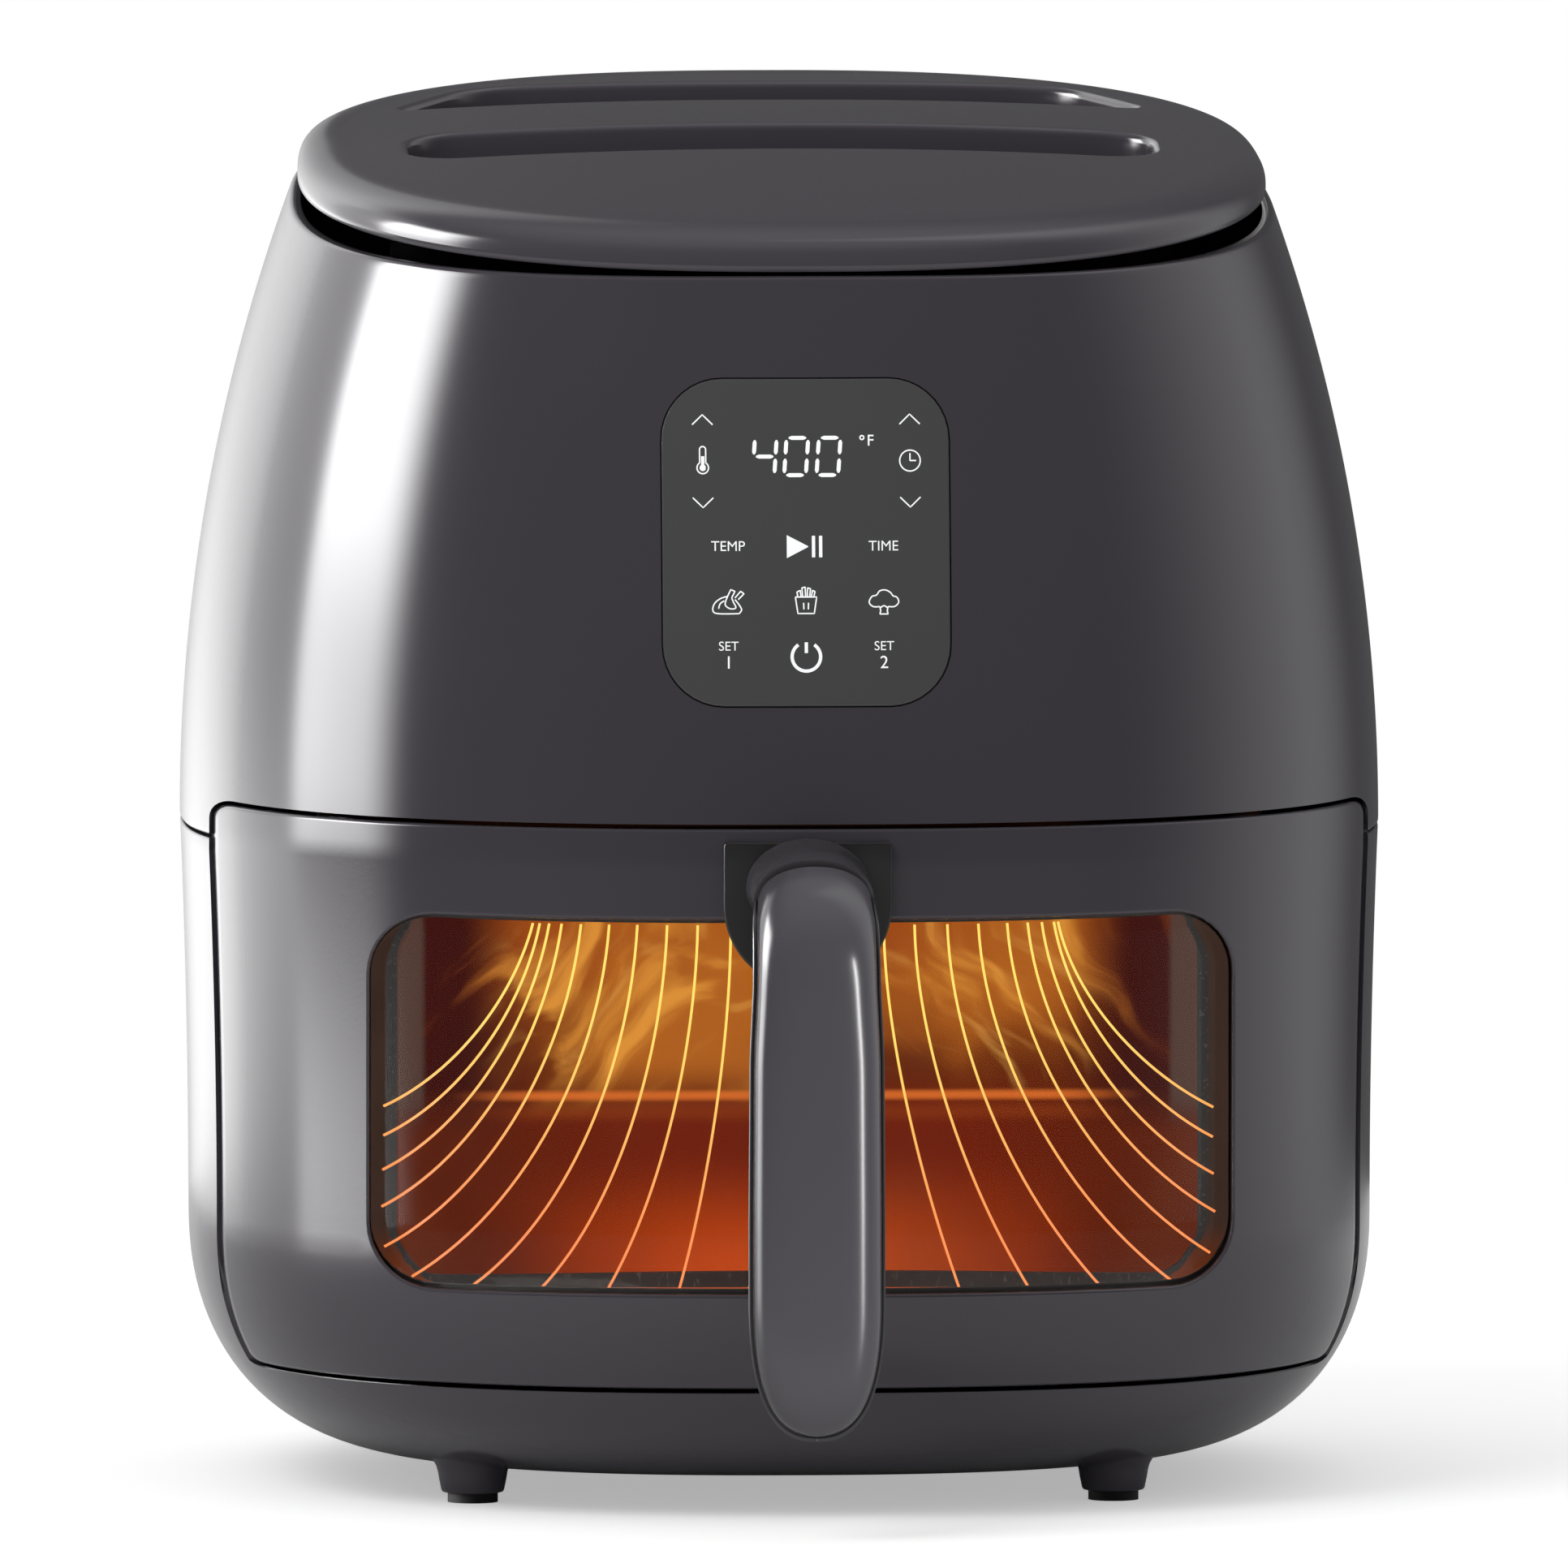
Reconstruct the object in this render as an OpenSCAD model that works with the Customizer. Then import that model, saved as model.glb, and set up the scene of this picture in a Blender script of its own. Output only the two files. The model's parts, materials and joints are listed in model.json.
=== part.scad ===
// Window air fryer: a pull-out drawer with a glass window below a touch panel,
// and a carrying grip moulded into the top cover.
// Millimetres, +Z up, the drawer pulls out towards -Y.

/* [Body] */
// Width of the body at its widest line
body_w = 286; // [282:1:300]
// Depth of the body, without the handle
body_d = 300; // [296:1:314]
// Squareness of the plan outline: 2 is an ellipse
plan_power = 2.44; // [2.4:0.02:2.6]
// Height of the widest line
ridge_z = 159; // [158:0.5:162]
// Radius of the side profile above the widest line
side_radius = 435; // [425:5:470]
// Height at which the belly starts to curve under
belly_z = 64.5; // [60:0.5:68]
// How far the belly lies inside the widest line
belly_in = 2; // [1:0.25:3]
// Squareness of the curve under the belly
belly_power = 2.3; // [2.2:0.05:2.5]
// Width of the flat underside
base_w = 168; // [164:1:176]
// Height of the underside above the table
base_z = 7.5; // [7:0.5:9]
// Wall of the moulded shells
wall = 2.6; // [2.2:0.1:3]
// Height of the seam between the upper and the lower housing
seam_z = 157.5; // [156:0.5:158]
// Gap at the housing seam
seam_gap = 0.8; // [0.5:0.1:1.2]

/* [Top cover] */
// Height of the cover seam at the body axis
cover_z = 312.3; // [308:0.5:314]
// Forward tilt of the cover seam, degrees
cover_tilt = 7.4; // [6.5:0.1:8]
// Height of the cover's crown at the body axis
top_z = 323.1; // [322:0.5:326]
// Forward tilt of the cover's top, degrees
top_tilt = 5.45; // [5:0.05:6]
// Rise of the crown over the cover's edge
top_crown = 4; // [3:0.5:5]
// Width of the rounded shoulder of the cover
shoulder_w = 9; // [7:0.5:11]
// Gap under the cover's front edge
cover_gap = 1; // [0.8:0.1:1.6]
// How much wider that gap grows towards the sides
cover_dip = 3.6; // [2:0.2:4]
// Wall of the cover
cover_wall = 2.8; // [2.4:0.1:3.2]
// Depth of the cover's skirt inside the housing
skirt_h = 8; // [7:0.5:10]

/* [Grip] */
// Length of the front grip slot
slot_l = 178; // [170:1:182]
// Width of the front grip slot
slot_w = 36; // [30:1:38]
// Width of the grip bar between the slots
bar_w = 42; // [36:1:44]
// Width of the rear grip slot
rear_slot_w = 36; // [30:1:38]
// Width of the rear grip slot's rear edge, over its corners
rear_slot_back = 158; // [140:1:164]
// Front edge of the front slot, forward of the body axis
slot_front = 30; // [26:1:34]
// Depth of the collars that line the slots
collar_h = 11; // [9:1:13]
// Depth of the tub under the slots
tub_depth = 30; // [26:1:32]
// Wall of the tub
tub_wall = 2; // [1.6:0.1:2.4]

/* [Drawer front] */
// Height of the drawer's upper seam
drawer_top = 166; // [165:0.5:168]
// Height of the drawer's lower seam
drawer_bottom = 32; // [31:0.5:34]
// How far the drawer's side seams lie inside the body's width
drawer_side = 5.6; // [5.2:0.1:6.4]
// Corner radius of the drawer front
drawer_corner = 4; // [3:0.5:5]
// Gap around the drawer front
drawer_gap = 1.1; // [0.9:0.1:1.4]
// Wall of the drawer front
front_wall = 3; // [2.6:0.1:3.2]
// How far the drawer's sides reach round the body's corners
side_return = 5.4; // [4.5:0.1:7]

/* [Window] */
// Distance of the window from the body's widest line, on each side
window_side = 40.5; // [39.5:0.5:45]
// Height of the window opening
window_h = 89.2; // [84:0.5:90]
// Height of the window's centre
window_z = 99.7; // [98:0.5:101]
// Corner radius of the window
window_r = 15; // [12:0.5:18]
// Thickness of the outer glass
glass_t = 3; // [2.6:0.1:3.2]
// How far the outer glass laps behind the opening
glass_lap = 3.5; // [3:0.1:3.5]
// Thickness of the gasket behind the outer glass
gasket_t = 2; // [1.6:0.1:2.2]
// Thickness of the inner pane
pane_t = 3; // [2.6:0.1:3.2]
// How much narrower the pan's opening is than the window, on each side
pane_side = 7.5; // [7.5:0.5:12]
// How much lower the pan's opening is than the window, above and below
pane_rise = 2.6; // [2.6:0.2:5]

/* [Control panel] */
// Width of the touch panel
panel_w = 68.4; // [64:0.2:72]
// Height of the touch panel
panel_h = 77; // [72:0.5:80]
// Height of the panel's centre
panel_z = 233.5; // [230:0.5:236]
// Corner radius of the panel
panel_r = 14.5; // [12:0.5:16]
// Thickness of the panel
panel_t = 2.4; // [2:0.1:2.6]

/* [Handle] */
// Distance of the grip's middle in front of the body
handle_reach = 47; // [45:1:52]
// Width of the grip
handle_w = 32.4; // [28:0.2:36]
// Thickness of the grip
handle_t = 18; // [16:0.5:20]
// Height of the grip's free lower end
handle_bottom = 24; // [22:1:30]
// Height of the neck's upper face
handle_top = 165; // [163:0.5:165.5]
// Width of the neck
neck_w = 30.4; // [26:0.2:32]
// Thickness of the neck
neck_t = 25; // [23:0.5:26]
// Bend radius between the neck and the grip
neck_bend = 21; // [19:0.5:23]
// Wall of the handle shells
handle_wall = 2.5; // [2.2:0.1:3]
// Width of the bracket plate behind the neck
bracket_w = 40; // [38:1:42]
// Height of the bracket's upper edge
bracket_top = 163; // [161:0.5:164]
// Height of the bracket from its upper edge to its round end
bracket_h = 35; // [33:1:38]
// Thickness of the bracket plate
bracket_t = 2; // [1.6:0.1:2.4]

/* [Pan] */
// Distance of the pan from the body's widest line, on each side
pan_side = 37; // [36:0.5:38]
// Distance of the pan's front wall from the body's front
pan_front_room = 58; // [57:0.5:60]
// Distance of the pan's rear wall from the body's rear
pan_rear_room = 38; // [37:0.5:40]
// Height of the pan
pan_h = 113; // [110:0.5:114]
// Height of the pan's underside
pan_z = 42; // [41:0.5:43]
// Wall of the pan
pan_wall = 1.2; // [1:0.1:1.6]
// Corner radius at the pan's front
pan_r_front = 10; // [8:1:12]
// Corner radius at the pan's rear
pan_r_rear = 45; // [44:1:48]
// Width of the rim around the pan
pan_rim = 3; // [2.5:0.5:3.5]
// Height of the crisper plate over the pan's floor
crisper_h = 13.8; // [12:0.2:16]
// Thickness of the crisper plate
crisper_t = 1.5; // [1.2:0.1:2]
// Gap between the crisper plate and the pan
crisper_gap = 2.8; // [2.4:0.1:3.2]
// Spacing of the crisper's holes
crisper_pitch = 19; // [18:0.5:24]
// Width of the crisper's holes
crisper_hole = 8.5; // [7:0.5:10]

/* [Chamber] */
// Air gap between the pan and the cooking chamber
chamber_gap = 5; // [4.5:0.5:5]
// Sheet thickness of the chamber
sheet = 1; // [0.8:0.1:1.2]
// Height of the chamber's top plate
chamber_top = 212; // [211:0.5:216]
// Distance of the chamber's mouth behind the pan's front wall
mouth_back = 4; // [4:0.5:6]
// Height of the heating element
element_z = 184; // [183:0.5:185]
// Diameter of the heating tube
element_d = 6.5; // [6:0.25:7]
// Distance from the element's outer turn to the guard's edge
element_in = 16; // [14:0.5:18]
// Spacing of the element's turns
element_pitch = 24; // [22:1:26]
// Height of the guard under the element
guard_z = 177; // [176:0.5:177.5]
// Diameter of the guard's wire
guard_d = 2; // [1.6:0.1:2.4]

/* [Fan and motor] */
// Distance of the fan axis behind the pan's middle
fan_back = 2; // [0:0.5:4]
// Diameter of the hot-air fan
fan_d = 130; // [124:1:134]
// Height of the hot-air fan's blades
blade_h = 12; // [10:0.5:12.5]
// Diameter of the cooling fan
cooler_d = 100; // [92:1:104]
// Diameter of the motor shaft
shaft_d = 5; // [4:0.5:6]
// Running clearance of the shaft in the motor, on the radius
shaft_play = 0.06; // [0.04:0.01:0.1]
// Height of the motor bracket over the chamber
bracket_rise = 20; // [18:1:24]
// Diameter of the motor
motor_d = 64; // [58:1:68]
// Height of the motor
motor_h = 30; // [26:1:32]

/* [Feet] */
// Distance of each foot to the side of the body axis
foot_x = 76.4; // [74:0.2:78]
// Distance of each foot in front of or behind the body axis
foot_y = 75; // [72:0.5:76]
// Diameter of a foot where it leaves the body
foot_d = 17.4; // [16:0.2:19]
// Diameter of a foot at its lower end
foot_tip_d = 15; // [14:0.2:16]
// Diameter of a rubber pad
pad_d = 12; // [11:0.2:13]
// Height of a rubber pad
pad_h = 2.4; // [2:0.1:2.8]

/* [Hidden] */

fit = 0.3;
ring_n = 48;
half_depth = body_d / 2;
depth_ratio = body_d / body_w;
cover_slope = tan(cover_tilt);
top_slope = tan(top_tilt);
handle_f = half_depth + handle_reach;
handle_front = handle_f + handle_t / 2;
frame_y = (handle_front - half_depth) / 2;
far = 400;
window_w = body_w - 2 * window_side;
pane_open_w = window_w - 2 * pane_side;
pane_open_h = window_h - 2 * pane_rise;
pan_w = body_w - 2 * pan_side;
pan_front = half_depth - pan_front_room;
pan_rear = half_depth - pan_rear_room;
pan_mid_y = (pan_rear - pan_front) / 2;
mouth_f = pan_front - mouth_back;
fan_y = pan_mid_y + fan_back;
guard_out = min(pan_w, pan_front + pan_rear) / 2 - 10;
element_r = guard_out - element_in;
side_share = 1 - (drawer_side + 0.2) / (body_w / 2);
edge_f = half_depth * (1 - side_share ^ plan_power) ^ (1 / plan_power) - side_return;

// ---- curves of the outer skin ----

function lerp(a, b, u) = a + (b - a) * u;
function power(v, e) = sign(v) * abs(v) ^ e;
function curve_x(t) = power(cos(t), 2 / plan_power);
function curve_y(t) = power(sin(t), 2 / plan_power);

// Half the width of the body at height z, moved inwards by inset.
function half_w(z, inset = 0) =
  z < belly_z
    ? let(u = min(1, (belly_z - z) / (belly_z - base_z - inset)))
      base_w / 2 + (body_w / 2 - belly_in - inset - base_w / 2)
      * (1 - u ^ belly_power) ^ (1 / belly_power)
    : z < ridge_z
      ? body_w / 2 - inset - belly_in * (1 - ((z - belly_z) / (ridge_z - belly_z)) ^ 2)
      : body_w / 2 - inset - side_radius + sqrt(side_radius ^ 2 - (z - ridge_z) ^ 2);

// Height at which the skin crosses a tilted plane, in the direction t.
function skin_z(t, zc, slope, steps = 3) =
  steps == 0 ? zc
    : zc + slope * depth_ratio * half_w(skin_z(t, zc, slope, steps - 1)) * curve_y(t);

// One closed ring of the skin on the plane that is zc high at the axis.
function skin_ring(zc, slope = 0, inset = 0) = [
  for (i = [0 : ring_n - 1])
    let(t = 360 * i / ring_n,
        z = skin_z(t, zc, slope),
        x = half_w(z, inset) * curve_x(t),
        y = (depth_ratio * half_w(z, inset) - inset * (1 - depth_ratio)) * curve_y(t))
    [x, y, zc + slope * y]];

belly_steps = 6;
dome_steps = 7;

function skin_rings(inset) = concat(
  [for (i = [0 : belly_steps])
    skin_ring(belly_z - (belly_z - base_z - inset) * cos(90 * i / belly_steps) ^ (2 / belly_power),
      0, inset)],
  [skin_ring((belly_z + ridge_z) / 2, 0, inset), skin_ring(ridge_z, 0, inset)],
  [for (i = [1 : dome_steps])
    skin_ring(lerp(ridge_z, cover_z, i / dome_steps), cover_slope * i / dome_steps, inset)]);

// The convex solid through some closed rings of points.
module slab(rings) {
  n = len(rings[0]);
  hull()
    polyhedron([for (ring = rings) each ring],
      [for (k = [0 : len(rings) - 1]) [for (i = [0 : n - 1]) k * n + i]]);
}

// A convex skin through many rings, in slabs that overlap by one ring.
module loft(rings) {
  for (k = [0 : max(0, len(rings) - 3)])
    slab([for (j = [k : min(k + 2, len(rings) - 1)]) rings[j]]);
}

module skin(inset = 0) {
  loft(skin_rings(inset));
}

module skin_shell(outer, inner) {
  difference() {
    skin(outer);
    skin(inner);
  }
}

// ---- helpers ----

module placed() {
  translate([0, frame_y, 0]) children();
}

// A slab of height z0 to z1 over the whole plan.
module storey(z0, z1) {
  translate([-far / 2, -far / 2, z0]) cube([far, far, z1 - z0]);
}

// A flat outline drawn in X and Z, carried along Y from f0 to f1 forward of the axis.
module forward(f0, f1) {
  translate([0, -f0, 0]) rotate([90, 0, 0]) linear_extrude(f1 - f0) children();
}

// A rounded rectangle made of true arcs.
module rounded(w, h, r) {
  square([w - 2 * r, h], center = true);
  square([w, h - 2 * r], center = true);
  for (sx = [-1, 1], sy = [-1, 1])
    translate([sx * (w / 2 - r), sy * (h / 2 - r)]) circle(r, $fn = 48);
}

// ---- outlines ----

function drawer_half(z) = min(body_w / 2 - drawer_side - 0.2, half_w(z) - drawer_side);

drawer_rows = 12;

module drawer_outline(grow = 0) {
  heights = [for (i = [0 : drawer_rows]) lerp(drawer_bottom, drawer_top, i / drawer_rows)];
  offset(delta = grow)
    offset(r = drawer_corner, $fn = 32)
      offset(delta = -drawer_corner)
        polygon(concat(
          [for (z = heights) [drawer_half(z), z]],
          [for (i = [drawer_rows : -1 : 0]) [-drawer_half(heights[i]), heights[i]]]));
}

module window_outline(grow = 0) {
  translate([0, window_z])
    rounded(window_w + 2 * grow, window_h + 2 * grow, window_r + grow);
}

module panel_outline(grow = 0) {
  translate([0, panel_z])
    rounded(panel_w + 2 * grow, panel_h + 2 * grow, panel_r + grow);
}

// Plan of the pan, grown by a clearance; Y runs to the rear.
module pan_plan(grow = 0, front = pan_front) {
  half = pan_w / 2 + grow;
  rear = pan_rear + grow;
  fore = front + grow;
  r1 = pan_r_rear + grow;
  r2 = max(0.5, pan_r_front + grow);
  translate([-half, -fore + r2]) square([2 * half, fore + rear - r1 - r2]);
  translate([r1 - half, 0]) square([2 * (half - r1), rear]);
  translate([r2 - half, -fore]) square([2 * (half - r2), fore]);
  for (s = [-1, 1]) {
    translate([s * (half - r1), rear - r1]) circle(r1, $fn = 96);
    translate([s * (half - r2), r2 - fore]) circle(r2, $fn = 32);
  }
}

// Plan of all that lies behind the drawer's liner.
liner_t = 2.5;
pane_f = pan_front + 0.2;
retainer_t = 1.5;
liner_f = pane_f + pane_t + retainer_t + 0.5 + liner_t;
liner_x = pan_w / 2 + 4;
edge_x = body_w / 2 - drawer_side - front_wall - 0.2 - fit;

module behind_liner(thinner = 0) {
  polygon([
    [edge_x - thinner, far / 2],
    [edge_x - thinner, -edge_f],
    [liner_x - 0.8 * thinner, thinner - liner_f],
    [0.8 * thinner - liner_x, thinner - liner_f],
    [thinner - edge_x, -edge_f],
    [thinner - edge_x, far / 2]]);
}

// ---- housing ----

bay_edge_f = edge_f - 1;
shelf_t = 2.5;
frame_f = edge_f - 8;
frame_t = 3;
vent_w = 96;
vent_h = 36;
vent_z = 190;
duct_wall = 1.5;
inlet_z = 46;
inlet_d = 12;
lip_h = 6;

// What the drawer front leaves open in the housings.
module drawer_bay() {
  forward(bay_edge_f, far / 2) drawer_outline(drawer_gap);
}

// Everything above the edge of the upper housing, with its dip towards the sides.
module above_edge() {
  rows = 16;
  x0 = body_w / 2;
  translate([0, 0, cover_z]) rotate([cover_tilt, 0, 0]) rotate([90, 0, 0])
    translate([0, 0, -far / 2])
      linear_extrude(far)
        polygon(concat(
          [for (i = [-rows : rows]) [x0 * i / rows, -cover_dip * (x0 * i / rows / 100) ^ 2]],
          [[x0, far / 4], [-x0, far / 4]]));
}

module upper_housing() {
  color([0.29, 0.28, 0.30]) difference() {
    union() {
      skin_shell(0, wall);
      difference() {
        intersection() {
          skin(wall / 2);
          translate([-body_w / 2, -half_depth, drawer_top])
            cube([body_w, half_depth - frame_f - frame_t - 0.1, drawer_gap + shelf_t]);
        }
        translate([-chamber_x - fit, -mouth_f - fit, drawer_top - 1])
          cube([2 * (chamber_x + fit), mouth_f, 4 * shelf_t]);
      }
    }
    storey(0, seam_z + seam_gap / 2);
    above_edge();
    drawer_bay();
    forward(half_depth / 2, far / 2) panel_outline(0.2);
    translate([0, half_depth / 2, vent_z]) rotate([-90, 0, 0])
      linear_extrude(far / 2) rounded(vent_w + 0.4, vent_h + 0.4, 6);
  }
}

// A band over the plan, behind the front frame, measured from the seam.
module lip_band(z0, z1) {
  translate([-body_w / 2, 3 - frame_f, seam_z + z0]) cube([body_w, body_d, z1 - z0]);
}

module lower_housing() {
  color([0.28, 0.27, 0.29]) difference() {
    union() {
      difference() {
        skin_shell(0, wall);
        storey(seam_z - seam_gap / 2, far);
      }
      difference() {
        union() {
          intersection() {
            skin(wall / 2);
            lip_band(-2 * lip_h, -seam_gap / 2);
          }
          intersection() {
            skin(wall + fit);
            lip_band(-lip_h, lip_h);
          }
        }
        skin(2 * wall + fit);
      }
      intersection() {
        skin(wall / 2);
        translate([-body_w / 2, -half_depth, drawer_bottom - drawer_gap - shelf_t])
          cube([body_w, half_depth - frame_f - frame_t - 0.1, drawer_gap + shelf_t]);
      }
      for (sx = [-1, 1], sy = [-1, 1])
        translate([sx * foot_x, sy * foot_y, pad_h])
          cylinder(h = base_z + wall + 2 - pad_h, d1 = foot_tip_d, d2 = foot_d, $fn = 40);
    }
    drawer_bay();
    translate([0, 0, base_z - 1]) linear_extrude(wall + 1.2) base_plan(0.2);
    translate([0, half_depth - 20, inlet_z]) rotate([-90, 0, 0])
      cylinder(h = 30, d = inlet_d + 0.2, $fn = 48);
  }
}

module base_plan(grow = 0) {
  polygon([for (i = [0 : ring_n - 1])
    let(t = 360 * i / ring_n)
    [(base_w / 2 - 6 + grow) * curve_x(t), (depth_ratio * base_w / 2 - 6 + grow) * curve_y(t)]]);
}

base_t = 2.4;
base_lip = 5;
bay_floor_t = 1.5;
rail_h = 6.2;
bay_floor_z = pan_z - fit - rail_h - bay_floor_t;
post_d = 10;
post_x = base_w / 2 - 24;
post_y = frame_f - post_d / 2 - 2;
screw_d = 3.6;
screw_head_d = 7;
screw_head_h = 2.4;

module base_plate() {
  slots = 5;
  color([0.13, 0.13, 0.14]) difference() {
    union() {
      translate([0, 0, base_z]) linear_extrude(base_t + 1) base_plan(0);
      translate([0, 0, base_z + wall + 0.2]) linear_extrude(2) base_plan(base_lip);
      for (sx = [-1, 1], sy = [-1, 1])
        translate([sx * post_x, sy * post_y, base_z + base_t])
          cylinder(h = bay_floor_z - base_z - base_t, d = post_d, $fn = 48);
    }
    for (sx = [-1, 1], k = [0 : slots - 1])
      translate([sx * 30, (k - (slots - 1) / 2) * 11, base_z - 1])
        linear_extrude(far / 40) rounded(30, 4, 1.9);
    for (sx = [-1, 1], sy = [-1, 1])
      translate([sx * post_x, sy * post_y, 0]) {
        cylinder(h = far / 2, d = screw_d + 0.2, $fn = 48);
        cylinder(h = base_z + screw_head_h + 0.2, d = screw_head_d + 0.4, $fn = 48);
      }
  }
}

module base_screws() {
  color([0.62, 0.62, 0.64])
    for (sx = [-1, 1], sy = [-1, 1])
      translate([sx * post_x, sy * post_y, base_z + 0.2]) difference() {
        union() {
          cylinder(h = screw_head_h, d = screw_head_d, $fn = 48);
          cylinder(h = bay_floor_z - base_z - 1, d = screw_d, $fn = 48);
        }
        translate([0, 0, -1]) cylinder(h = 2.2, d = 3.4, $fn = 6);
      }
}

module foot_pads() {
  color([0.06, 0.06, 0.06])
    for (sx = [-1, 1], sy = [-1, 1])
      translate([sx * foot_x, sy * foot_y, 0]) cylinder(h = pad_h, d = pad_d, $fn = 48);
}

// ---- top cover ----

edge_lift = top_z - top_crown;
cover_mid_y = -10;
shoulder_steps = 4;
crown_steps = 4;

// A ring that keeps the outline of the cover seam, moved inwards and laid on another plane.
function cover_ring(inset, zc, slope, k = 1) = [
  for (p = skin_ring(cover_z, cover_slope, inset))
    let(y = cover_mid_y + (p[1] - cover_mid_y) * k)
    [p[0] * k, y, zc + slope * y]];

function cover_rings(inset, drop) = concat(
  [for (i = [0 : shoulder_steps])
    let(a = 90 * i / shoulder_steps, u = sin(a))
    cover_ring(inset + shoulder_w * (1 - cos(a)),
      lerp(cover_z + cover_gap, edge_lift, u) - drop, lerp(cover_slope, top_slope, u))],
  [for (i = [1 : crown_steps])
    let(k = 1 - 0.96 * i / crown_steps)
    cover_ring(inset + shoulder_w, edge_lift + top_crown * (1 - k ^ 2) - drop, top_slope, k)]);

// Children drawn in X and Y are laid on the tilted top, depth mm below its edge plane.
module on_top(depth, h) {
  translate([0, 0, edge_lift - depth]) rotate([top_tilt, 0, 0]) linear_extrude(h) children();
}

bar_front = slot_front - slot_w;
bar_rear = bar_front - bar_w;
rear_slot_edge = bar_rear - rear_slot_w;
slot_r = 13;
rear_corner_r = 3;
rear_slot_r = 22;

module front_slot(grow = 0) {
  translate([0, -(slot_front + bar_front) / 2]) rounded(slot_l + 2 * grow, slot_w + 2 * grow, slot_r + grow);
}

function arc_points(centre, r, start, end, n) = [
  for (i = [0 : n])
    let(a = lerp(start, end, i / n))
    centre + r * [cos(a), sin(a)]];

// The rear slot is straight along the bar, with tight corners there and wide ones at the rim.
module rear_slot(grow = 0) {
  bar_corner = [slot_l / 2 - rear_corner_r - 1, rear_corner_r - bar_rear];
  rim_corner = [rear_slot_back / 2 - rear_slot_r, -rear_slot_edge - rear_slot_r];
  lead = rim_corner - bar_corner;
  side = atan2(lead[1], lead[0]) - acos((rear_corner_r - rear_slot_r) / norm(lead));
  half = concat(arc_points(bar_corner, rear_corner_r + grow, -90, side, 6),
    arc_points(rim_corner, rear_slot_r + grow, side, 90, 10));
  polygon(concat(half, [for (i = [len(half) - 1 : -1 : 0]) [-half[i][0], half[i][1]]]));
}

module tub_plan(grow = 0) {
  front_slot(grow);
  rear_slot(grow);
  translate([-slot_l / 2 - grow + 2, -bar_front - slot_r]) square([slot_l + 2 * grow - 4, bar_w + slot_r]);
}

skirt_in = wall + 3 * fit;

module top_cover() {
  color([0.31, 0.30, 0.33]) difference() {
    union() {
      difference() {
        loft(cover_rings(0, 0));
        loft(concat([cover_ring(cover_wall, cover_z - 1, cover_slope)], cover_rings(cover_wall, cover_wall)));
      }
      difference() {
        loft([skin_ring(cover_z - skirt_h, cover_slope, skirt_in),
          skin_ring(cover_z + cover_gap, cover_slope, skirt_in),
          cover_ring(skirt_in, cover_z + cover_gap + 1, cover_slope)]);
        loft([skin_ring(cover_z - skirt_h - 1, cover_slope, skirt_in + wall),
          cover_ring(skirt_in + wall, cover_z + cover_gap + 2, cover_slope)]);
      }
      intersection() {
        loft(cover_rings(0.4, 0.4));
        on_top(collar_h - 2, 2 * collar_h) difference() {
          union() {
            front_slot(2);
            rear_slot(2);
          }
          front_slot(-1);
          rear_slot(-1);
        }
      }
    }
    on_top(collar_h + 10, far / 4) front_slot();
    on_top(collar_h + 10, far / 4) rear_slot();
  }
}

module grip_tub() {
  color([0.13, 0.12, 0.14]) difference() {
    on_top(tub_depth, tub_depth - collar_h + 4.8) tub_plan(2 + fit + tub_wall);
    on_top(tub_depth - tub_wall, tub_depth) tub_plan(2 + fit);
  }
}

// ---- frame between the housings and the chamber ----

module front_frame() {
  mouth_w = pan_w + 2 * (chamber_gap + sheet + 0.2);
  color([0.16, 0.16, 0.17]) difference() {
    intersection() {
      skin(wall + fit);
      forward(frame_f, frame_f + frame_t)
        translate([-body_w / 2, drawer_bottom - 4]) square([body_w, chamber_top - drawer_bottom + 4]);
    }
    forward(0, far / 2) translate([-mouth_w / 2, bay_floor_z - 0.2]) square([mouth_w, far / 2]);
    translate([switch_x, 0, switch_z]) rotate([90, 0, 0])
      cylinder(h = far / 2, d = plunger_d + 0.4, $fn = 32);
  }
}

module chamber_plan(grow) {
  pan_plan(chamber_gap + grow, mouth_f - chamber_gap - grow);
}

chamber_x = pan_w / 2 + chamber_gap + sheet;
roof_z = chamber_top - sheet;
cup_d = 34;
lamp_y = cup_d / 2 + 7 - frame_f;
lamp_z = 192;
lamp_hole_d = 26;
sensor_angle = -38;

module cooking_chamber() {
  color([0.66, 0.66, 0.67]) difference() {
    translate([0, 0, bay_floor_z + bay_floor_t]) linear_extrude(roof_z - bay_floor_z - bay_floor_t)
      chamber_plan(sheet);
    translate([0, 0, bay_floor_z]) linear_extrude(far)
      intersection() {
        chamber_plan(0);
        translate([-far / 2, sheet - mouth_f]) square([far, far]);
      }
    forward(mouth_f - pan_r_front - 4, far / 2)
      translate([-far / 2, 0]) square([far, drawer_top + drawer_gap]);
    translate([chamber_x - 5, lamp_y, lamp_z]) rotate([0, 90, 0])
      cylinder(h = 10, d = lamp_hole_d, $fn = 64);
    translate([0, pan_rear, vent_z]) rotate([-90, 0, 0])
      linear_extrude(20) rounded(vent_w - 30, vent_h - 16, 4);
  }
}

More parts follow.
